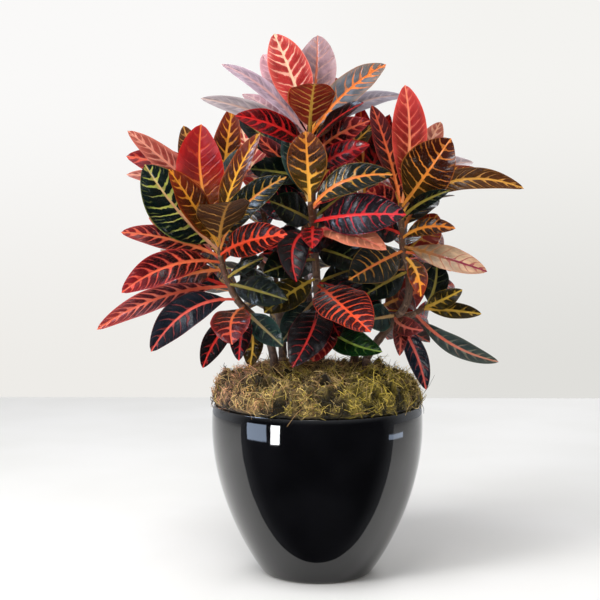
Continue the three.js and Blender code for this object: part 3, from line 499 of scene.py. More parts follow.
def cover_points(canes, leaves, bent):
    """Points that cover every cane and leaf, with the item each belongs to and its share of the length."""
    frames = leaf_frames(leaves, bent)
    t = (np.arange(1, SETTLE_ALONG + 1) / SETTLE_ALONG)[None, :, None]
    side = (np.arange(-SETTLE_ACROSS, SETTLE_ACROSS + 1, 2) / SETTLE_ACROSS)[:, None]
    middle, normal, across = leaf_stations(leaves, frames, t)
    half = half_width(leaves["width"][:, None, None], t)[..., None]
    blades = middle + across * side * half * math.cos(FOLD) + normal * abs(side) * half * math.sin(FOLD)
    corners = np.vstack([np.eye(3), -np.eye(3)]) * CANE_TIP_RADIUS
    tubes = [(cane["line"][1:, None] + corners).reshape(-1, 3) for cane in canes]
    owners = [np.full(len(tube), number) for number, tube in enumerate(tubes)]
    count, rows, columns = blades.shape[:3]
    owners.append(np.repeat(np.arange(count) + len(canes), rows * columns))
    shares = [np.zeros(len(tube)) for tube in tubes]
    shares.append(np.broadcast_to(t, (count, rows, columns)).ravel())
    return np.vstack([*tubes, blades.reshape(-1, 3)]), np.concatenate(owners), np.concatenate(shares)


def spans_by_cell(seen, owners, shares):
    """For each cell of a view and each item in it: the nearest and furthest depth and the least share."""
    cell = np.floor(seen[:, :2] / SETTLE_CELL).astype(int)
    cells = cell[:, 0] * KEY_STEP + cell[:, 1]
    keys = (cells - cells.min()) * KEY_STEP + owners
    order = np.argsort(keys, kind="stable")
    starts = np.flatnonzero(np.diff(keys[order], prepend=-1))
    near = np.minimum.reduceat(seen[order, 2], starts)
    far = np.maximum.reduceat(seen[order, 2], starts)
    least = np.minimum.reduceat(shares[order], starts)
    first = order[starts]
    return cells[first], owners[first], near, far, least


def tightest_pairs(spans, line_of, is_leaf):
    """Each pair that shares a cell, with the least room if the first is in front and if the second is."""
    cells, owners, near, far, least = spans
    found = []
    apart = 1
    while True:
        one = np.flatnonzero(cells[:-apart] == cells[apart:])
        if not len(one):
            break
        other = one + apart
        first, second = owners[one], owners[other]
        strangers = line_of[first] != line_of[second]
        both = is_leaf[first] & is_leaf[second] & (np.minimum(least[one], least[other]) > JOINT_SHARE)
        meet = np.where(strangers, is_leaf[first] | is_leaf[second], both)
        one, other = one[meet], other[meet]
        found.append(np.column_stack([owners[one] * KEY_STEP + owners[other], near[other] - far[one],
                                      near[one] - far[other], least[one], least[other]]))
        apart += 1
    rows = np.vstack(found)
    orders = []
    for number in (1, 2):
        ranked = rows[np.lexsort((rows[:, number], rows[:, 0]))]
        first = np.flatnonzero(np.diff(ranked[:, 0], prepend=-1))
        orders.append(ranked[first][:, [0, number, 3, 4]])
    return orders[0][:, 0].astype(int), np.stack([order[:, 1:] for order in orders])


def settle(canes, leaves):
    """How far each leaf's tip is bent along the line of sight and up, so that no two leaves cross."""
    count = len(canes)
    line_of = np.concatenate([np.arange(count), leaves["cane"]])
    is_leaf = np.arange(len(line_of)) >= count
    bent = np.zeros((len(leaves["width"]), 2))
    for _ in range(SETTLE_PASSES):
        points, owners, shares = cover_points(canes, leaves, bent)
        views = [spans_by_cell(view, owners, shares) for view in (as_seen(points), points)]
        sight, plan = [tightest_pairs(spans, line_of, is_leaf) for spans in views]
        keys, in_sight, in_plan = np.intersect1d(sight[0], plan[0], return_indices=True)
        choices = np.concatenate([sight[1][:, in_sight], plan[1][:, in_plan]])
        best = choices[:, :, 0].argmax(0)
        room, share_one, share_other = choices[best, np.arange(len(keys))].T
        lever = share_one**2 + share_other**2
        tight = (room < SETTLE_CLEAR) & (lever >= LEAST_LEVER)
        sign = np.array([-1, 1, -1, 1])[best]
        push = (SETTLE_CLEAR - room) * SETTLE_SHARE * sign / np.maximum(lever, LEAST_LEVER)
        push = np.where(tight, push, 0)
        shifts = np.zeros((len(line_of), 2))
        np.add.at(shifts, (keys // KEY_STEP, best // 2), push * share_one)
        np.add.at(shifts, (keys % KEY_STEP, best // 2), -push * share_other)
        step = np.clip(shifts[count:], -SETTLE_STEP, SETTLE_STEP)
        bent = np.clip(bent + step, -leaves["give"], leaves["give"])
    return bent


# Meshes.

SHARP_ANGLE = math.radians(50)


class Shell:
    """Gathers points, faces and vectors at the points, and makes one smooth mesh object of them."""

    def __init__(self):
        self.points = []
        self.faces = []
        self.materials = []
        self.vectors = []
        self.count = 0

    def add(self, points, faces, material=0, **vectors):
        """Points in millimetres, and blocks of faces that count from this call's first point."""
        points = np.asarray(points, float).reshape(-1, 3)
        for block in faces:
            self.faces += (np.asarray(block) + self.count).tolist()
            self.materials += [material] * len(block)
        self.vectors += [(key, self.count, vector) for key, vector in vectors.items()]
        self.points.append(points)
        self.count += len(points)

    def build(self, name, materials):
        mesh = bpy.data.meshes.new(name)
        mesh.from_pydata((np.vstack(self.points) * METRES).tolist(), [], self.faces)
        for material in materials:
            mesh.materials.append(material)
        mesh.polygons.foreach_set("material_index", self.materials)
        mesh.polygons.foreach_set("use_smooth", [True] * len(mesh.polygons))
        for key in dict.fromkeys(key for key, _, _ in self.vectors):
            whole = np.zeros((self.count, 3))
            for _, start, vector in [entry for entry in self.vectors if entry[0] == key]:
                whole[start:start + len(vector)] = vector
            mesh.attributes.new(key, "FLOAT_VECTOR", "POINT").data.foreach_set("vector", whole.ravel())
        mesh.update()
        mesh.set_sharp_from_angle(angle=SHARP_ANGLE)
        piece = bpy.data.objects.new(name, mesh)
        bpy.context.scene.collection.objects.link(piece)
        return piece


def tube_faces(rings, sides, capped=True):
    """Quads between rings of points, and a cap at each end."""
    ring = np.arange(rings - 1)[:, None] * sides
    side = np.arange(sides)[None]
    after = (side + 1) % sides
    quads = np.stack([ring + side, ring + after, ring + sides + after, ring + sides + side], -1)
    quads = quads.reshape(-1, 4)
    if not capped:
        return [quads]
    return [quads, side[:, ::-1], (rings - 1) * sides + side]


def lathe(profile, sides):
    """A closed body of revolution: the profile runs from the axis at the bottom, outside up and back."""
    profile = np.asarray(profile, float)
    angle = round_angles(sides)
    rings = profile[1:-1]
    points = [np.column_stack([radius * np.cos(angle), radius * np.sin(angle), np.full(sides, height)])
              for radius, height in rings]
    points = np.vstack([*points, (0, 0, profile[0][1]), (0, 0, profile[-1][1])])
    side = np.arange(sides)
    after = (side + 1) % sides
    last = (len(rings) - 1) * sides
    bottom = np.stack([np.full(sides, len(points) - 2), after, side], -1)
    top = np.stack([last + side, last + after, np.full(sides, len(points) - 1)], -1)
    return points, [*tube_faces(len(rings), sides, capped=False), bottom, top]


# Materials.


class Output:
    """A node's output, whose sums, differences and products are math nodes."""

    def __init__(self, nodes, socket):
        self.nodes = nodes
        self.socket = socket

    def __add__(self, other):
        return self.nodes.math("ADD", self, other)

    def __sub__(self, other):
        return self.nodes.math("SUBTRACT", self, other)

    def __mul__(self, other):
        return self.nodes.math("MULTIPLY", self, other)


class Nodes:
    """Short calls for the nodes of one material or world."""

    def __init__(self, owner):
        owner.use_nodes = True
        self.tree = owner.node_tree
        self.tree.nodes.clear()

    def add(self, kind, inputs=None, output=0, **settings):
        node = self.tree.nodes.new(kind)
        for key, value in settings.items():
            setattr(node, key, value)
        for key, value in (inputs or {}).items():
            self.feed(node.inputs[key], value)
        return Output(self, node.outputs[output])

    def feed(self, socket, value):
        if isinstance(value, Output):
            self.tree.links.new(value.socket, socket)
        elif socket.type == "RGBA":
            socket.default_value = (*value, 1)
        else:
            socket.default_value = value

    def end(self, shader, kind="ShaderNodeOutputMaterial"):
        self.feed(self.tree.nodes.new(kind).inputs[0], shader)

    def math(self, operation, *values):
        return self.add("ShaderNodeMath", dict(enumerate(values)), operation=operation)

    def ramp(self, value, start, end, low=0.0, high=1.0, curve="SMOOTHSTEP"):
        """low before start, high after end."""
        limits = {0: value, 1: start, 2: end, 3: low, 4: high}
        return self.add("ShaderNodeMapRange", limits, interpolation_type=curve)

    def mix(self, share, one, other):
        return self.add("ShaderNodeMix", {0: share, 6: one, 7: other}, 2, data_type="RGBA")

    def attribute(self, name):
        return self.add("ShaderNodeAttribute", output="Vector", attribute_name=name)

    def split(self, vector):
        node = self.add("ShaderNodeSeparateXYZ", {0: vector}).socket.node
        return [Output(self, socket) for socket in node.outputs]

    def join(self, x, y, z):
        return self.add("ShaderNodeCombineXYZ", {0: x, 1: y, 2: z})

    def place(self):
        return self.add("ShaderNodeTexCoord", output="Object")

    def noise(self, vector, scale, detail=2.0, rough=0.5):
        inputs = {"Vector": vector, "Scale": scale, "Detail": detail, "Roughness": rough}
        return self.add("ShaderNodeTexNoise", inputs, "Fac")

    def bump(self, height, distance, strength):
        return self.add("ShaderNodeBump", {"Height": height, "Distance": distance, "Strength": strength})

    def surface(self, colour, rough, more):
        return self.add("ShaderNodeBsdfPrincipled", {"Base Color": colour, "Roughness": rough, **more})


def new_material(name):
    material = bpy.data.materials.new(name)
    return material, Nodes(material)


BLACK = (0, 0, 0)
OLIVE_BASE = srgb(0x483E0E)
YELLOW_VEIN = srgb(0xE8B23E)
YELLOW_MIDRIB = srgb(0xEEBE54)
LIGHT_THROUGH_LEAF = 0.12
VEIN_STAGGER = 0.2


def leaf_material():
    """Glossy leaf: side veins with the flush and the net beside them, midrib and margin."""
    material, n = new_material("croton_leaf")
    along, side, half = n.split(n.attribute("blade"))
    row, seed, under = n.split(n.attribute("rows"))
    vein_share, flush_share, show = n.split(n.attribute("pattern"))
    reach, base_share, tip_share = n.split(n.attribute("habit"))
    flush = n.attribute("flush")

    apart = n.math("ABSOLUTE", side)
    hand = n.math("SIGN", side)
    from_midrib = apart * half
    blotch = n.noise(n.join(along * 3.2, side * 1.1, seed), 1.9, 3)
    spacing = n.noise(n.join(row, hand * 7, seed), 0.62, 1)
    wobble = n.noise(n.join(row * 1.6, from_midrib * 0.16, seed), 1.0, 3)

    # A side vein lies at each whole number of the phase and thins out towards the margin.
    phase = row + hand * VEIN_STAGGER + spacing * 1.3 + wobble * 0.42
    near = n.math("PINGPONG", phase, 0.5)
    strength = n.noise(n.join(n.math("FLOOR", phase + 0.5), hand * 5, seed), 3.7, 0)
    spread = vein_share * n.ramp(apart, 0, 0.9, 1.5, 0.5) * n.ramp(strength, 0.3, 0.7, 0.7, 1.3)
    spread = spread + n.ramp(from_midrib, 1.2, 5, 0.12, 0)
    on_vein = n.ramp(near, spread, spread + 0.06, 1, 0)
    beside = n.ramp(near, spread, spread + (flush_share + 0.08), 1, 0)
    fork = n.ramp(near, 0.42, 0.47) * n.ramp(apart, 0.55, 0.85)
    last = reach + (strength - 0.5) * 0.5
    reached = n.ramp(apart, last - 0.12, last + 0.14, 1, 0.12)

    # The net between the side veins, the midrib, the margin, and where the base and the tip change.
    at_base = n.ramp(along, 0.14, 0.7, 1, 0) * base_share
    at_tip = n.ramp(along, 0.55, 1) * tip_share
    show = n.math("MINIMUM", show + at_base * 0.5, 1)
    shown = n.ramp(blotch, 0.32, 0.55, 0.5, 1) * show * n.ramp(strength, 0.25, 0.6, 0.6, 1) * reached
    net_place = n.join(row * 3.4, from_midrib * 0.36, seed)
    net = n.add("ShaderNodeTexVoronoi", {"Vector": net_place, "Scale": 1.0}, feature="DISTANCE_TO_EDGE")
    on_net = n.ramp(net, 0.03, 0.12, 1, 0) * show
    midrib_half = n.ramp(along, 0, 1, 2.1, 0.5, "LINEAR")
    on_midrib = n.ramp(from_midrib, midrib_half, midrib_half + 0.7, 1, 0)
    rim = n.ramp(apart, n.ramp(flush_share, 0.05, 0.14, 0.9, 0.6), 1.0)
    rim = rim * n.ramp(flush_share, 0.03, 0.12, 0.2, 0.85)

    # The colours are laid on each other, from between the veins to the midrib on top.
    lamina = n.mix(at_base * 0.85, n.attribute("lamina"), OLIVE_BASE)
    vein = n.mix(at_base * 0.8, n.attribute("vein"), YELLOW_VEIN)
    midrib = n.mix(at_base * 0.6, n.attribute("midrib"), YELLOW_MIDRIB)
    colour = n.mix(n.ramp(blotch, 0.35, 0.7), n.mix(0.45, lamina, BLACK), lamina)
    colour = n.mix(on_net * 0.22, n.mix(at_tip, colour, flush), flush)
    flushed = beside * shown * n.ramp(at_base, 0, 1, 0.85, 0.3)
    colour = n.mix(n.math("MAXIMUM", flushed, rim), colour, flush)
    colour = n.mix(fork * show * reached * 0.35, colour, vein)
    vein_tint = n.mix(n.ramp(apart, 0.3, 1, 0, 0.4), vein, flush)
    vein_tint = n.mix(n.ramp(wobble, 0.35, 0.65, 0, 0.3), vein_tint, midrib)
    colour = n.mix(on_vein * shown, colour, vein_tint)
    colour = n.mix(n.ramp(apart, 0.95, 0.985) * 0.6, colour, n.mix(0.5, vein, flush))
    colour = n.mix(on_midrib, colour, n.mix(n.ramp(along, 0.3, 1, 0, 0.5), midrib, vein))

    grain = n.noise(n.place(), 900, 3)
    sunk_midrib = n.ramp(from_midrib, 0.6, 2.2, 1, 0)
    relief = grain * 0.2 - on_vein * 0.8 - on_net * 0.3 - sunk_midrib * 0.8
    rough = under * 0.25 + n.ramp(blotch, 0.3, 0.7, 0.1, 0.22)
    finish = {"Normal": n.bump(relief, 0.0009, 0.8), "IOR": 1.45, "Specular IOR Level": 0.55}
    through = n.add("ShaderNodeBsdfTranslucent", {"Color": colour})
    blade = {0: LIGHT_THROUGH_LEAF, 1: n.surface(colour, rough, finish), 2: through}
    n.end(n.add("ShaderNodeMixShader", blade))
    return material


def cane_material():
    """Grey-brown bark at the foot, smooth green-brown towards the tip, with pale leaf scars."""
    material, n = new_material("croton_cane")
    age, walk, round_share = n.split(n.attribute("bark"))
    fibre = n.noise(n.join(walk * 0.05, round_share * 6, age), 3, 4, 0.6)
    scar = n.noise(n.join(walk * 0.12, round_share * 1.5, 3.0), 1.4, 1)
    young = n.mix(n.ramp(fibre, 0.3, 0.7), srgb(0x4A3E1E), srgb(0x683428))
    old = n.mix(n.ramp(fibre, 0.35, 0.65), srgb(0x3A2820), srgb(0x806250))
    colour = n.mix(n.ramp(age, 0.05, 0.45), young, old)
    colour = n.mix(n.ramp(scar, 0.6, 0.68) * 0.5, colour, srgb(0xA88C74))
    n.end(n.surface(colour, n.ramp(fibre, 0.3, 0.7, 0.55, 0.8), {"Normal": n.bump(fibre, 0.0012, 0.7)}))
    return material


def moss_material():
    """Dry sheet moss: each strand has its own colour, with painted light and shade in it, broken up by a fine
    grain.
    """
    material, n = new_material("sheet_moss")
    tint = n.attribute("tint")
    grain = n.noise(n.place(), 420, 4, 0.65)
    colour = n.mix(n.ramp(grain, 0.3, 0.7), n.mix(0.45, tint, BLACK), tint)
    finish = {"Normal": n.bump(grain, 0.001, 0.8), "Sheen Weight": 0.15, "Specular IOR Level": 0.25}
    n.end(n.surface(colour, n.ramp(grain, 0.3, 0.7, 0.8, 0.95), finish))
    return material


def glaze_material():
    """Black glaze: a clear glass coat over a black body, with the faint unevenness of a fired surface."""
    material, n = new_material("black_glaze")
    place = n.place()
    flow = n.noise(place, 14, 2)
    pits = n.noise(place, 500, 2)
    colour = n.mix(n.ramp(flow, 0.3, 0.7), srgb(0x050507), srgb(0x0C0C0F))
    relief = n.bump(flow + pits * 0.006, 0.0012, 0.5)
    finish = {"Normal": relief, "IOR": 1.5, "Coat Weight": 0.5, "Coat Roughness": 0.02}
    n.end(n.surface(colour, n.ramp(pits, 0.3, 0.75, 0.03, 0.06), finish))
    return material


def soil_material():
    material, n = new_material("potting_soil")
    crumbs = n.noise(n.place(), 160, 6, 0.7)
    colour = n.mix(n.ramp(crumbs, 0.35, 0.65), srgb(0x160E09), srgb(0x4A3424))
    n.end(n.surface(colour, n.ramp(crumbs, 0.3, 0.7, 0.85, 1.0), {"Normal": n.bump(crumbs, 0.004, 0.8)}))
    return material


def floor_material():
    material, n = new_material("pale_floor")
    soft = n.noise(n.place(), 3, 2)
    colour = n.mix(n.ramp(soft, 0.3, 0.7), srgb(0xF0EDE8), srgb(0xF5F2EE))
    n.end(n.surface(colour, n.ramp(soft, 0.3, 0.7, 0.85, 0.9), {"Specular IOR Level": 0.2}))
    return material


# Leafy stems.

BLADE_ROWS = 50
STALK_ROWS = 4
BLADE_COLUMNS = 12
BLADE_START = (PETIOLE_SHARE * 0.8, PETIOLE_SHARE * 1.6)
POINT_SHARE = 0.03
VEIN_GAP = 15.5
VEIN_RISE = 0.11
LAMINA_THICKNESS = 0.5
MIDRIB_RIDGE = 1.1
MIDRIB_REACH = 1.3
CROWN_SHARE = 0.45
QUILT_HEIGHT = 0.8
WAVE_SHARE = 0.07
WAVES = 2.3
WAVE_STAGGER = 1.9
UNDER_SHARE = 0.22
UNDER_LAMINA = srgb(0x703E28)
UNDER_VEIN = srgb(0xD29054)
LOOK_VARIETY = 0.14


def leaf_shapes(leaves, frames):
    """The upper and lower face of every leaf, from stalk to tip, and the coordinates of its veins."""
    stalk = np.linspace(0, PETIOLE_SHARE, STALK_ROWS, endpoint=False)
    row = np.linspace(0, 1, BLADE_ROWS + 1)[:-1]
    side = np.linspace(-1, 1, BLADE_COLUMNS + 1)[None, None, :]
    bow = np.sin(np.pi * row) ** 0.8
    along = row[:, None] + VEIN_RISE * bow[:, None] * (abs(side[0]) + 0.5 * side[0] ** 2)
    blade = PETIOLE_SHARE + (1 - PETIOLE_SHARE) * np.minimum(along, 0.5 + row[:, None] / 2)
    t = np.vstack([np.broadcast_to(stalk[:, None], (STALK_ROWS, BLADE_COLUMNS + 1)), blade])[None]
    share = np.clip((t - PETIOLE_SHARE) / (1 - PETIOLE_SHARE), 0, 1)
    blend = smooth(t, *BLADE_START)
    middle, normal, across = leaf_stations(leaves, frames, t)
    point_off = np.sqrt(np.clip((1 - share) / POINT_SHARE, 0, 1))
    half = half_width(leaves["width"][:, None, None], t) * point_off

    # The blade is folded and crowned, quilted between its veins and waved at its margin.
    veins = np.append(np.zeros(STALK_ROWS), row)[None, :, None]
    veins = veins * (frames["length"] / VEIN_GAP)[:, None, None]
    quilt = np.cos(2 * np.pi * (veins + VEIN_STAGGER * np.sign(side)))
    starts = np.random.default_rng(31).uniform(0, 2 * np.pi, len(leaves["width"]))[:, None, None]
    wave = np.sin(2 * np.pi * WAVES * share + starts + WAVE_STAGGER * np.sign(side))
    lift = math.sin(FOLD) * half * ((1 + CROWN_SHARE) * abs(side) - CROWN_SHARE * side**2)
    lift = lift + WAVE_SHARE * half * wave * side**2 * blend
    lift = lift - QUILT_HEIGHT * quilt * blend * abs(side) * (1 - side**2) * 2 * (1 - share)
    centre = middle + across * (side * half * math.cos(FOLD))[..., None] + normal * lift[..., None]

    round_half = PETIOLE_THICKNESS / 2 * np.sqrt(np.maximum(1 - side**2, 0))
    flat_half = LAMINA_THICKNESS / 2 * np.sqrt(np.maximum(1 - side**4, 0))
    ridge = MIDRIB_RIDGE * (1 - share) * np.exp(-((side * half / MIDRIB_REACH) ** 2))
    upper = centre + normal * lerp(round_half, flat_half, blend)[..., None]
    lower = centre - normal * lerp(round_half, flat_half + ridge, blend)[..., None]
    share, side, half, veins = [np.broadcast_to(values, lift.shape) for values in (share, side, half, veins)]
    return upper, lower, np.stack([share, side, half], -1), veins[..., None]


def leaf_colours(look, shift):
    """The look's four colours above and below, a little lighter, darker or warmer than those of its kind."""
    warm = np.array([1 + shift[0], 1 + shift[1] * 0.5, 1 + shift[2] * 0.5]) * (1 + shift[3])
    above = [np.clip(srgb(colour) * warm, 0, 1) for colour in look[:4]]
    targets = [UNDER_LAMINA, UNDER_LAMINA, UNDER_VEIN, UNDER_VEIN]
    below = [lerp(colour, target, UNDER_SHARE) for colour, target in zip(above, targets)]
    return zip(["lamina", "flush", "vein", "midrib"], above, below)


def ring_order(upper, lower, tip):
    """Closed rings, each the upper face and then the lower one back without its margins, and the tip."""
    rings = np.concatenate([upper, lower[..., -2:0:-1, :]], -2)
    return np.vstack([rings.reshape(-1, rings.shape[-1]), tip])


def add_leaf(shell, leaves, number, shape, draws):
    upper, lower, blade, veins = [values[number] for values in shape]
    look = LOOKS[leaves["look"][number]]
    rows = len(upper)
    columns = BLADE_COLUMNS * 2
    points = ring_order(upper, lower, leaves["tip"][number])
    last = (rows - 1) * columns
    column = np.arange(columns)
    fan = np.stack([last + column, last + (column + 1) % columns, np.full(columns, len(points) - 1)], -1)
    faces = [*tube_faces(rows, columns, capped=False), column[None, ::-1], fan]
    each = (len(points), 1)
    phases = ring_order(veins, veins, veins[-1, 1])
    seeds = np.full(each, draws.uniform(0, 40))
    under = np.append(np.tile(column > BLADE_COLUMNS, rows), False)[:, None]
    shift = draws.uniform(-LOOK_VARIETY, LOOK_VARIETY, 4)
    colours = {name: np.where(under, below, above) for name, above, below in leaf_colours(look, shift)}
    shell.add(points, faces, 0, blade=ring_order(blade, blade, (1, 0, 0)),
              rows=np.hstack([phases, seeds, under]), pattern=np.tile(look[4:7], each),
              habit=np.tile(look[7:], each), **colours)


CANE_RING_GAP = 4
CANE_SIDES = 12
NODE_GAP = 13
NODE_SWELL = 0.1


def add_cane(shell, cane, draws):
    """A round cane with a slight swelling at each leaf scar, which ends blunt among the top leaves."""
    line = cane["line"]
    length = np.linalg.norm(np.diff(line, axis=0), axis=1).sum()
    steps = int(length / CANE_RING_GAP)
    foot = CANE_FOOT_RADIUS * (1 if cane["is_main"] else BRANCH_SHARE)
    angle = round_angles(CANE_SIDES)[:, None]
    shift = draws.uniform(0, NODE_GAP)
    rings = []
    marks = []
    for step in range(steps, -1, -1):
        share = step / steps
        walk = share * length
        point, axis = place_on_cane(line, walk)
        side = unit(np.cross(axis, (0, -1, 0)))
        front = np.cross(side, axis)
        swell = 1 + NODE_SWELL * max(0, math.cos(2 * math.pi * (walk + shift) / NODE_GAP)) ** 4
        radius = lerp(CANE_TIP_RADIUS, foot, math.sqrt(share)) * swell
        rings.append(point + radius * (np.cos(angle) * side - np.sin(angle) * front))
        marks += [(share, walk, round_share) for round_share in np.sin(angle)[:, 0]]
    shell.add(np.vstack(rings), tube_faces(len(rings), CANE_SIDES), 1, bark=marks)


def build_stems():
    canes, leaves = grow()
    frames = leaf_frames(leaves, settle(canes, leaves))
    leaves["tip"] = frames["tip"]
    shape = leaf_shapes(leaves, frames)
    materials = [leaf_material(), cane_material()]
    draws = np.random.default_rng(905)
    for stem in FEET:
        shell = Shell()
        for cane in canes:
            if cane["stem"] == stem:
                add_cane(shell, cane, draws)
        for number in np.flatnonzero(leaves["stem"] == stem):
            add_leaf(shell, leaves, number, shape, draws)
        piece = shell.build(stem + "_fine", materials)
        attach(piece, "root")
        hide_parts(stem)


# Pot.

POT_TURNS = 180
POT_CURVE_STEPS = 40
LIP_STEPS = 6
FOOT_STEPS = 4
FOOT_FLARE = (28, 38)
BELLY_FALL = (0, 80)
SHOULDER_RISE = (0, 14)


def curve_points(controls, steps):
    """Points of a cubic Bezier curve."""
    share = np.linspace(0, 1, steps + 1)[:, None]
    one, two, three, four = np.asarray(controls, float)
    return (one * (1 - share) ** 3 + 3 * two * share * (1 - share) ** 2 + 3 * three * share**2 * (1 - share)
            + four * share**3)


def build_pot():
    """The pot's profile goes from its underside over foot, belly, shoulder and lip into the hollow."""
    ground = np.array([POT_FOOT_RADIUS, 0])
    foot = np.array([POT_FOOT_RADIUS + POT_FOOT_EDGE, POT_FOOT_EDGE * 0.7])
    belly = np.array([POT_BELLY_RADIUS, POT_BELLY_HEIGHT])
    outer = np.array([POT_BELLY_RADIUS, POT_RIM_HEIGHT])
    inner = outer - (POT_WALL + 2, 0)
    edge = curve_points([ground - (4, 0), ground, ground + (4, 1), foot], FOOT_STEPS)[:-1]
    side = curve_points([foot, foot + FOOT_FLARE, belly - BELLY_FALL, belly], POT_CURVE_STEPS)
    shoulder = curve_points([belly, belly + SHOULDER_RISE, outer - (0.6, 7), outer - (2, 4)], LIP_STEPS)[1:]
    lip = curve_points([shoulder[-1], outer - (3.4, 0), outer - (4, 0), outer - (6, 0)], LIP_STEPS)[1:]
    inner_lip = curve_points([inner + (4, 0), inner + (1, 0), inner - (0, 1), inner - (0, 5)], LIP_STEPS)
    inside = [point - (POT_WALL, 0) for point in side[::-1] if point[1] > POT_FLOOR + 4]
    inside = [point for point in inside if point[0] < inner[0]]
    profile = np.vstack([(0, 0), ground - (20, 0), edge, side, shoulder, lip, inner_lip, *inside,
                         (POT_FOOT_RADIUS, POT_FLOOR), (0, POT_FLOOR)])
    shell = Shell()
    shell.add(*lathe(profile, POT_TURNS))
    piece = shell.build("glazed_pot", [glaze_material()])
    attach(piece, "root")
    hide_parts("pot")


# Moss.

MOSS_TURNS = 220
MOSS_ROWS = 90
CLUMP_HEIGHT = 8
CLUMP_EDGES = (-0.5, 0.6)
STRANDS = 7500
STRAND_RINGS = 5
STRAND_SIDES = 3
STRAND_LENGTHS = (3.5, 13)
STRAND_ROOT = 1.5
TINT_NOISE = 0.8
TINT_RANGE = 2.6
YELLOW_GREEN = srgb(0xD0B84C)
OLIVE = srgb(0x928036)
STRAW = srgb(0xDEC07C)
TAN = srgb(0xE0A682)
BROWN = srgb(0x7E522E)
MOSS_TINTS = np.array([YELLOW_GREEN, OLIVE, YELLOW_GREEN, STRAW, BROWN, STRAW, TAN])


def moss_lump(x, y):
    """Lumps of the moss as in the model, from -1 to 1."""
    broad = np.sin(x * 0.045 + 1.3) * np.cos(y * 0.052 - 0.4)
    middle = np.sin(x * 0.11 + y * 0.07 + 2.1)
    fine = np.sin(x * 0.21 - y * 0.17 + 0.6) * np.cos(x * 0.09 + y * 0.19)
    return 0.5 * broad + 0.3 * middle + 0.35 * fine


moss_draws = np.random.default_rng(62)
CLUMP_WAVES = [
    (moss_draws.normal(0, scale, 2), moss_draws.uniform(0, 2 * np.pi), weight)
    for scale, weight in ((0.16, 0.34), (0.24, 0.28), (0.34, 0.24), (0.5, 0.2), (0.7, 0.16), (0.95, 0.12))
    for _ in range(3)
]


def moss_clump(x, y):
    """Small clumps on the lumps, from -1 in the hollows to 1 on top."""
    waves = [weight * np.sin(x * wave[0] + y * wave[1] + start) for wave, start, weight in CLUMP_WAVES]
    return np.tanh(sum(waves))


def painted_clump_light(points):
    """Painted light and shade of the moss: 0 in the hollows between the clumps and 1 on top of them."""
    return smooth(moss_clump(points[:, 0], points[:, 1]), *CLUMP_EDGES)


def moss_surface(walk, angle):
    """A point of the mat's top: walk goes from 0 at the pot's rim, over the edge, to 1 at the middle."""
    rim = POT_RIM_HEIGHT
    edge = MOSS_EDGE_RADIUS
    plateau = MOSS_PLATEAU
    rows = np.array([
        (edge - 1, rim + 1, 0), (edge + 3, rim + 5, 0.2), (edge + 3, rim + 11, 0.4),
        (edge - 2, rim + 22, 0.8), (edge - 14, rim + 33, 1), (edge - 34, plateau, 1.3),
        (edge - 56, plateau + 1, 1.3), (edge - 82, plateau + 3, 1.3), (edge - 110, plateau + 4, 1.3),
        (1, plateau + 4, 1.3),
    ])
    reach = np.append(0, np.cumsum(np.linalg.norm(np.diff(rows[:, :2], axis=0), axis=1)))
    radius, height, lump = [np.interp(walk * reach[-1], reach, column) for column in rows.T]
    x = radius * np.cos(angle)
    y = radius * np.sin(angle)
    swell = moss_lump(x, y) * MOSS_LUMP * lump + moss_clump(x, y) * CLUMP_HEIGHT * np.minimum(lump, 1)
    out = 1 + swell * 0.35 / np.maximum(radius, 1)
    return np.stack([x * out, y * out, height + swell], -1)


def moss_tints(points, draws):
    """Patches of colour: pinker at the left, greener at the right and browner at the back of the mat."""
    x, y = points[:, 0], points[:, 1]
    patch = np.sin(x * 0.052 + 0.8) + np.sin(y * 0.071 - x * 0.03 + 2.2) + 0.6 * np.sin(x * 0.13 + y * 0.11)
    patch = patch * 0.6 + draws.normal(0, TINT_NOISE, len(x)) - x / 90 + smooth(y, -40, 50)
    place = np.clip((patch + TINT_RANGE) / (TINT_RANGE * 2), 0, 0.999) * (len(MOSS_TINTS) - 1)
    first = place.astype(int)
    return lerp(MOSS_TINTS[first], MOSS_TINTS[first + 1], (place - first)[:, None])


def build_moss_mat(material):
    angle = round_angles(MOSS_TURNS)
    top = moss_surface(np.linspace(0, 1, MOSS_ROWS)[:, None], angle)
    hidden = [(POT_BELLY_RADIUS - POT_WALL - 4, POT_RIM_HEIGHT - 2),
              (MOSS_EDGE_RADIUS - 3, POT_RIM_HEIGHT + 0.4)]
    under = [np.column_stack([radius * np.cos(angle), radius * np.sin(angle), np.full(MOSS_TURNS, height)])
             for radius, height in hidden]
    points = np.vstack([*under, top.reshape(-1, 3)])
    # Painted shade: the whole mat is darkened, most in the hollows between the clumps, as shade under the
    # strands.
    tints_and_shade = moss_tints(points, np.random.default_rng(41)) * lerp(0.05, 0.38, painted_clump_light(points)[:, None])
    shell = Shell()
    shell.add(points, tube_faces(MOSS_ROWS + len(under), MOSS_TURNS), 0, tint=tints_and_shade)
    piece = shell.build("moss_mat", [material])
    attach(piece, "root")
    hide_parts("moss")


def strand_paths(start, normal, ahead, draws):
    """The middle lines of strands that rise from the mat, curl, and lie back on it."""
    each = (STRANDS, 1, 1)
    length = draws.gamma(6, 1.15, each).clip(*STRAND_LENGTHS)
    rise = draws.uniform(0.08, 0.55, each) ** 1.4
    curl = draws.normal(0, 1.1, each)
    kink, kink_start = draws.normal(0, 0.32, (STRANDS, 2)).T[:, :, None, None]
    across = np.cross(normal, ahead)
    share = np.linspace(0, 1, STRAND_RINGS)[None, :, None]
    bend = curl * share**2 + kink * np.sin(5 * share + kink_start * 40)
    return (start - normal * STRAND_ROOT + ahead * length * share
            + normal * length * rise * np.sin(np.pi * share * 0.85) * 1.2 + across * length * bend)


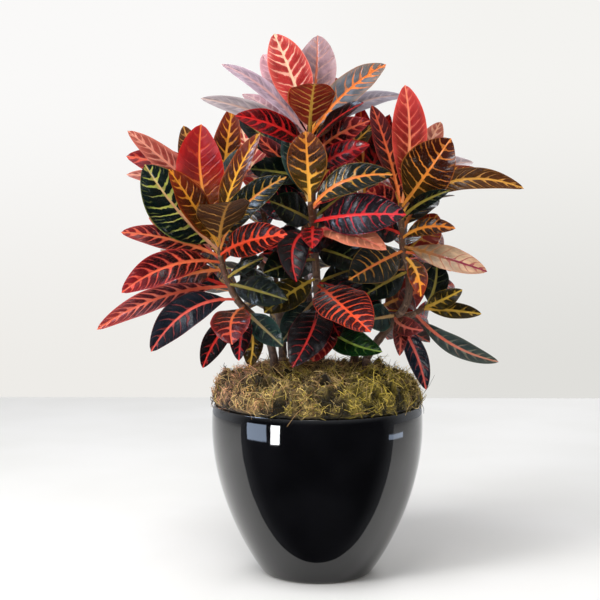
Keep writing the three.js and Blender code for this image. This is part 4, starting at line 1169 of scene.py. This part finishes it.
def build_strands(name, material, middle_angle, draws):
    """Dry strands on half of the mat, each a thin tube, with painted shade at its root and in the hollows of
    the mat and painted light on top of the clumps.
    """
    walk = draws.uniform(0.05, 1, STRANDS) ** 1.35
    angle = middle_angle + draws.uniform(-np.pi / 2, np.pi / 2, STRANDS)
    start = moss_surface(walk, angle)
    out = moss_surface(np.minimum(walk + 0.01, 1), angle) - start
    round_way = moss_surface(walk, angle + 0.02) - start
    normal = unit(np.cross(round_way, out))[:, None]
    turn = lerp(0.42, 1, smooth(walk, 0.12, 0.4)) * np.pi
    heading = (draws.uniform(-1, 1, STRANDS) * turn)[:, None]
    ahead = unit(unit(out) * np.cos(heading) + unit(round_way) * np.sin(heading))[:, None]
    path = strand_paths(start[:, None], normal, ahead, draws)

    thick = draws.uniform(0.5, 0.95, (STRANDS, 1))
    radius = (thick * np.linspace(1, 0.3, STRAND_RINGS))[:, :, None, None]
    way = unit(np.gradient(path, axis=1))
    side = unit(np.cross(way, normal + 1e-3))
    front = np.cross(way, side)
    corner = round_angles(STRAND_SIDES)[:, None]
    spoke = side[:, :, None] * np.cos(corner) + front[:, :, None] * np.sin(corner)
    ring = path[:, :, None] + radius * spoke
    first = np.arange(STRANDS)[:, None, None] * STRAND_RINGS * STRAND_SIDES
    blocks = tube_faces(STRAND_RINGS, STRAND_SIDES)
    faces = [(block + first).reshape(-1, block.shape[-1]) for block in blocks]

    # Painted light and shade: a strand is lighter on top of a clump and darker in a hollow, times a tone of
    # its own.
    painted_lit = lerp(0.03, 1.75, painted_clump_light(start)) * draws.uniform(0.5, 1.3, STRANDS)
    tint = (moss_tints(start, draws) * painted_lit[:, None])[:, None, None]
    # Painted shade: each strand is darker at its root, and a little lighter at its tip.
    depth = lerp(0.45, 1.1, np.linspace(0, 1, STRAND_RINGS))[:, None, None]
    shell = Shell()
    shell.add(ring, faces, 0, tint=np.broadcast_to(tint * depth, ring.shape).reshape(-1, 3))
    piece = shell.build(name, [material])
    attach(piece, "root")


def build_moss():
    material = moss_material()
    build_moss_mat(material)
    draws = np.random.default_rng(77)
    build_strands("moss_strands_front", material, -np.pi / 2, draws)
    build_strands("moss_strands_back", material, np.pi / 2, draws)


# Stage, lights and camera, in metres.

FLOOR_FRONT = -0.106
FLOOR_BACK = 1.55
FLOOR_REACH = 5.0
COOL = (0.96, 0.98, 1.0)
BLUE = (0.62, 0.76, 1.0)
WARM = (1.0, 0.96, 0.9)
ROOM_TINT = (0.92, 0.95, 1.0)
SENSOR_WIDTH = 36
LENS = 85.2
CAMERA_FALL = 4.75
CAMERA_TURN = 0.702


def build_floor():
    """The front of the floor is a piece of its own, which glossy surfaces don't mirror."""
    material = floor_material()
    left, right = -FLOOR_REACH, FLOOR_REACH
    halves = (("floor", FLOOR_FRONT, FLOOR_BACK), ("floor_front", -FLOOR_REACH, FLOOR_FRONT))
    for name, front, back in halves:
        mesh = bpy.data.meshes.new(name)
        corners = [(left, front, 0), (right, front, 0), (right, back, 0), (left, back, 0)]
        mesh.from_pydata(corners, [], [(0, 1, 2, 3)])
        mesh.materials.append(material)
        floor = bpy.data.objects.new(name, mesh)
        bpy.context.scene.collection.objects.link(floor)
        floor.visible_glossy = name == "floor"


def add_light(name, place, target, size, power, colour, seen_by="both"):
    """An area lamp that lights rough surfaces, mirrors in glossy ones, or both."""
    lamp = bpy.data.lights.new(name, "AREA")
    lamp.shape = "RECTANGLE"
    lamp.size, lamp.size_y = size
    lamp.energy = power
    lamp.color = colour
    light = bpy.data.objects.new(name, lamp)
    light.location = place
    way = np.array(target) - np.array(place)
    pitch = math.acos(-way[2] / np.linalg.norm(way))
    light.rotation_euler = (pitch, 0, math.atan2(way[1], way[0]) - math.pi / 2)
    light.visible_glossy = seen_by != "rough"
    light.visible_diffuse = seen_by != "glossy"
    bpy.context.scene.collection.objects.link(light)


def build_lights():
    add_light("window_left", (-1.7, -1.5, 1.3), (0, 0, 0.4), (0.7, 0.7), 32, COOL, "rough")
    add_light("window_top", (-0.5, -0.8, 2.3), (0, 0, 0.4), (1.4, 1.4), 33, COOL, "rough")
    add_light("window_back", (0.8, 2.2, 1.8), (0, 0, 0.45), (1.4, 1.0), 17, COOL)
    add_light("fill_front", (0.2, -2.4, 0.9), (0, 0, 0.35), (0.8, 0.8), 14, WARM, "rough")
    add_light("glare_left", (-1.4, 0.1, 1.8), (0, 0, 0.45), (0.6, 0.6), 22, BLUE, "glossy")
    add_light("glare_top", (-0.2, -0.5, 2.2), (0, 0, 0.45), (0.35, 0.7), 5, COOL, "glossy")
    add_light("pane_wide", (-0.93, -0.46, 0.16), (0, 0, 0.16), (0.43, 0.26), 1.6, BLUE, "glossy")
    add_light("pane_tall", (-0.70, -0.77, 0.155), (0, 0, 0.155), (0.17, 0.29), 5, COOL, "glossy")
    add_light("pane_right", (1.02, -0.03, 0.04), (0, 0, 0.04), (0.38, 0.035), 0.12, BLUE, "glossy")


def build_world():
    """A pale wall for the camera, with painted shade that darkens it low down and towards the right, and for
    the rest a room, bright above and behind, dark in front.
    """
    world = bpy.data.worlds.new("studio")
    bpy.context.scene.world = world
    n = Nodes(world)
    x, y, z = n.split(n.add("ShaderNodeTexCoord", output="Generated"))
    bright = n.math("MAXIMUM", n.ramp(y, -0.35, 0.4), n.ramp(z, 0.2, 0.9))
    room = n.add("ShaderNodeBackground", {0: ROOM_TINT, 1: n.ramp(bright, 0, 1, 0.02, 0.55, "LINEAR")})
    # Painted shade on the wall: darker low down and towards the right.
    low = n.mix(n.ramp(x, -0.1, 0.14), srgb(0xEEECE8), srgb(0xE0DFDB))
    high = n.mix(n.ramp(x, -0.1, 0.14), srgb(0xFAF9F8), srgb(0xF4F3F0))
    wall = n.add("ShaderNodeBackground", {0: n.mix(n.ramp(z, -0.14, 0.08), low, high), 1: 1.0})
    seen = n.add("ShaderNodeLightPath", output="Is Camera Ray")
    n.end(n.add("ShaderNodeMixShader", {0: seen, 1: room, 2: wall}), "ShaderNodeOutputWorld")


def build_camera():
    """An eye 1.9 m in front of the pot's axis, which looks a little down on the plant."""
    lens = bpy.data.cameras.new("camera")
    lens.sensor_width = SENSOR_WIDTH
    lens.lens = LENS
    camera = bpy.data.objects.new("camera", lens)
    camera.location = (0, -EYE_DISTANCE * METRES, EYE_HEIGHT * METRES)
    camera.rotation_euler = (math.radians(90 - CAMERA_FALL), 0, math.radians(CAMERA_TURN))
    bpy.context.scene.collection.objects.link(camera)
    bpy.context.scene.camera = camera


bpy.context.scene.view_settings.view_transform = "Standard"
build_stems()
build_pot()
build_moss()
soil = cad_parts["potting_soil"]
soil.data.materials.clear()
soil.data.materials.append(soil_material())
build_floor()
build_lights()
build_world()
build_camera()
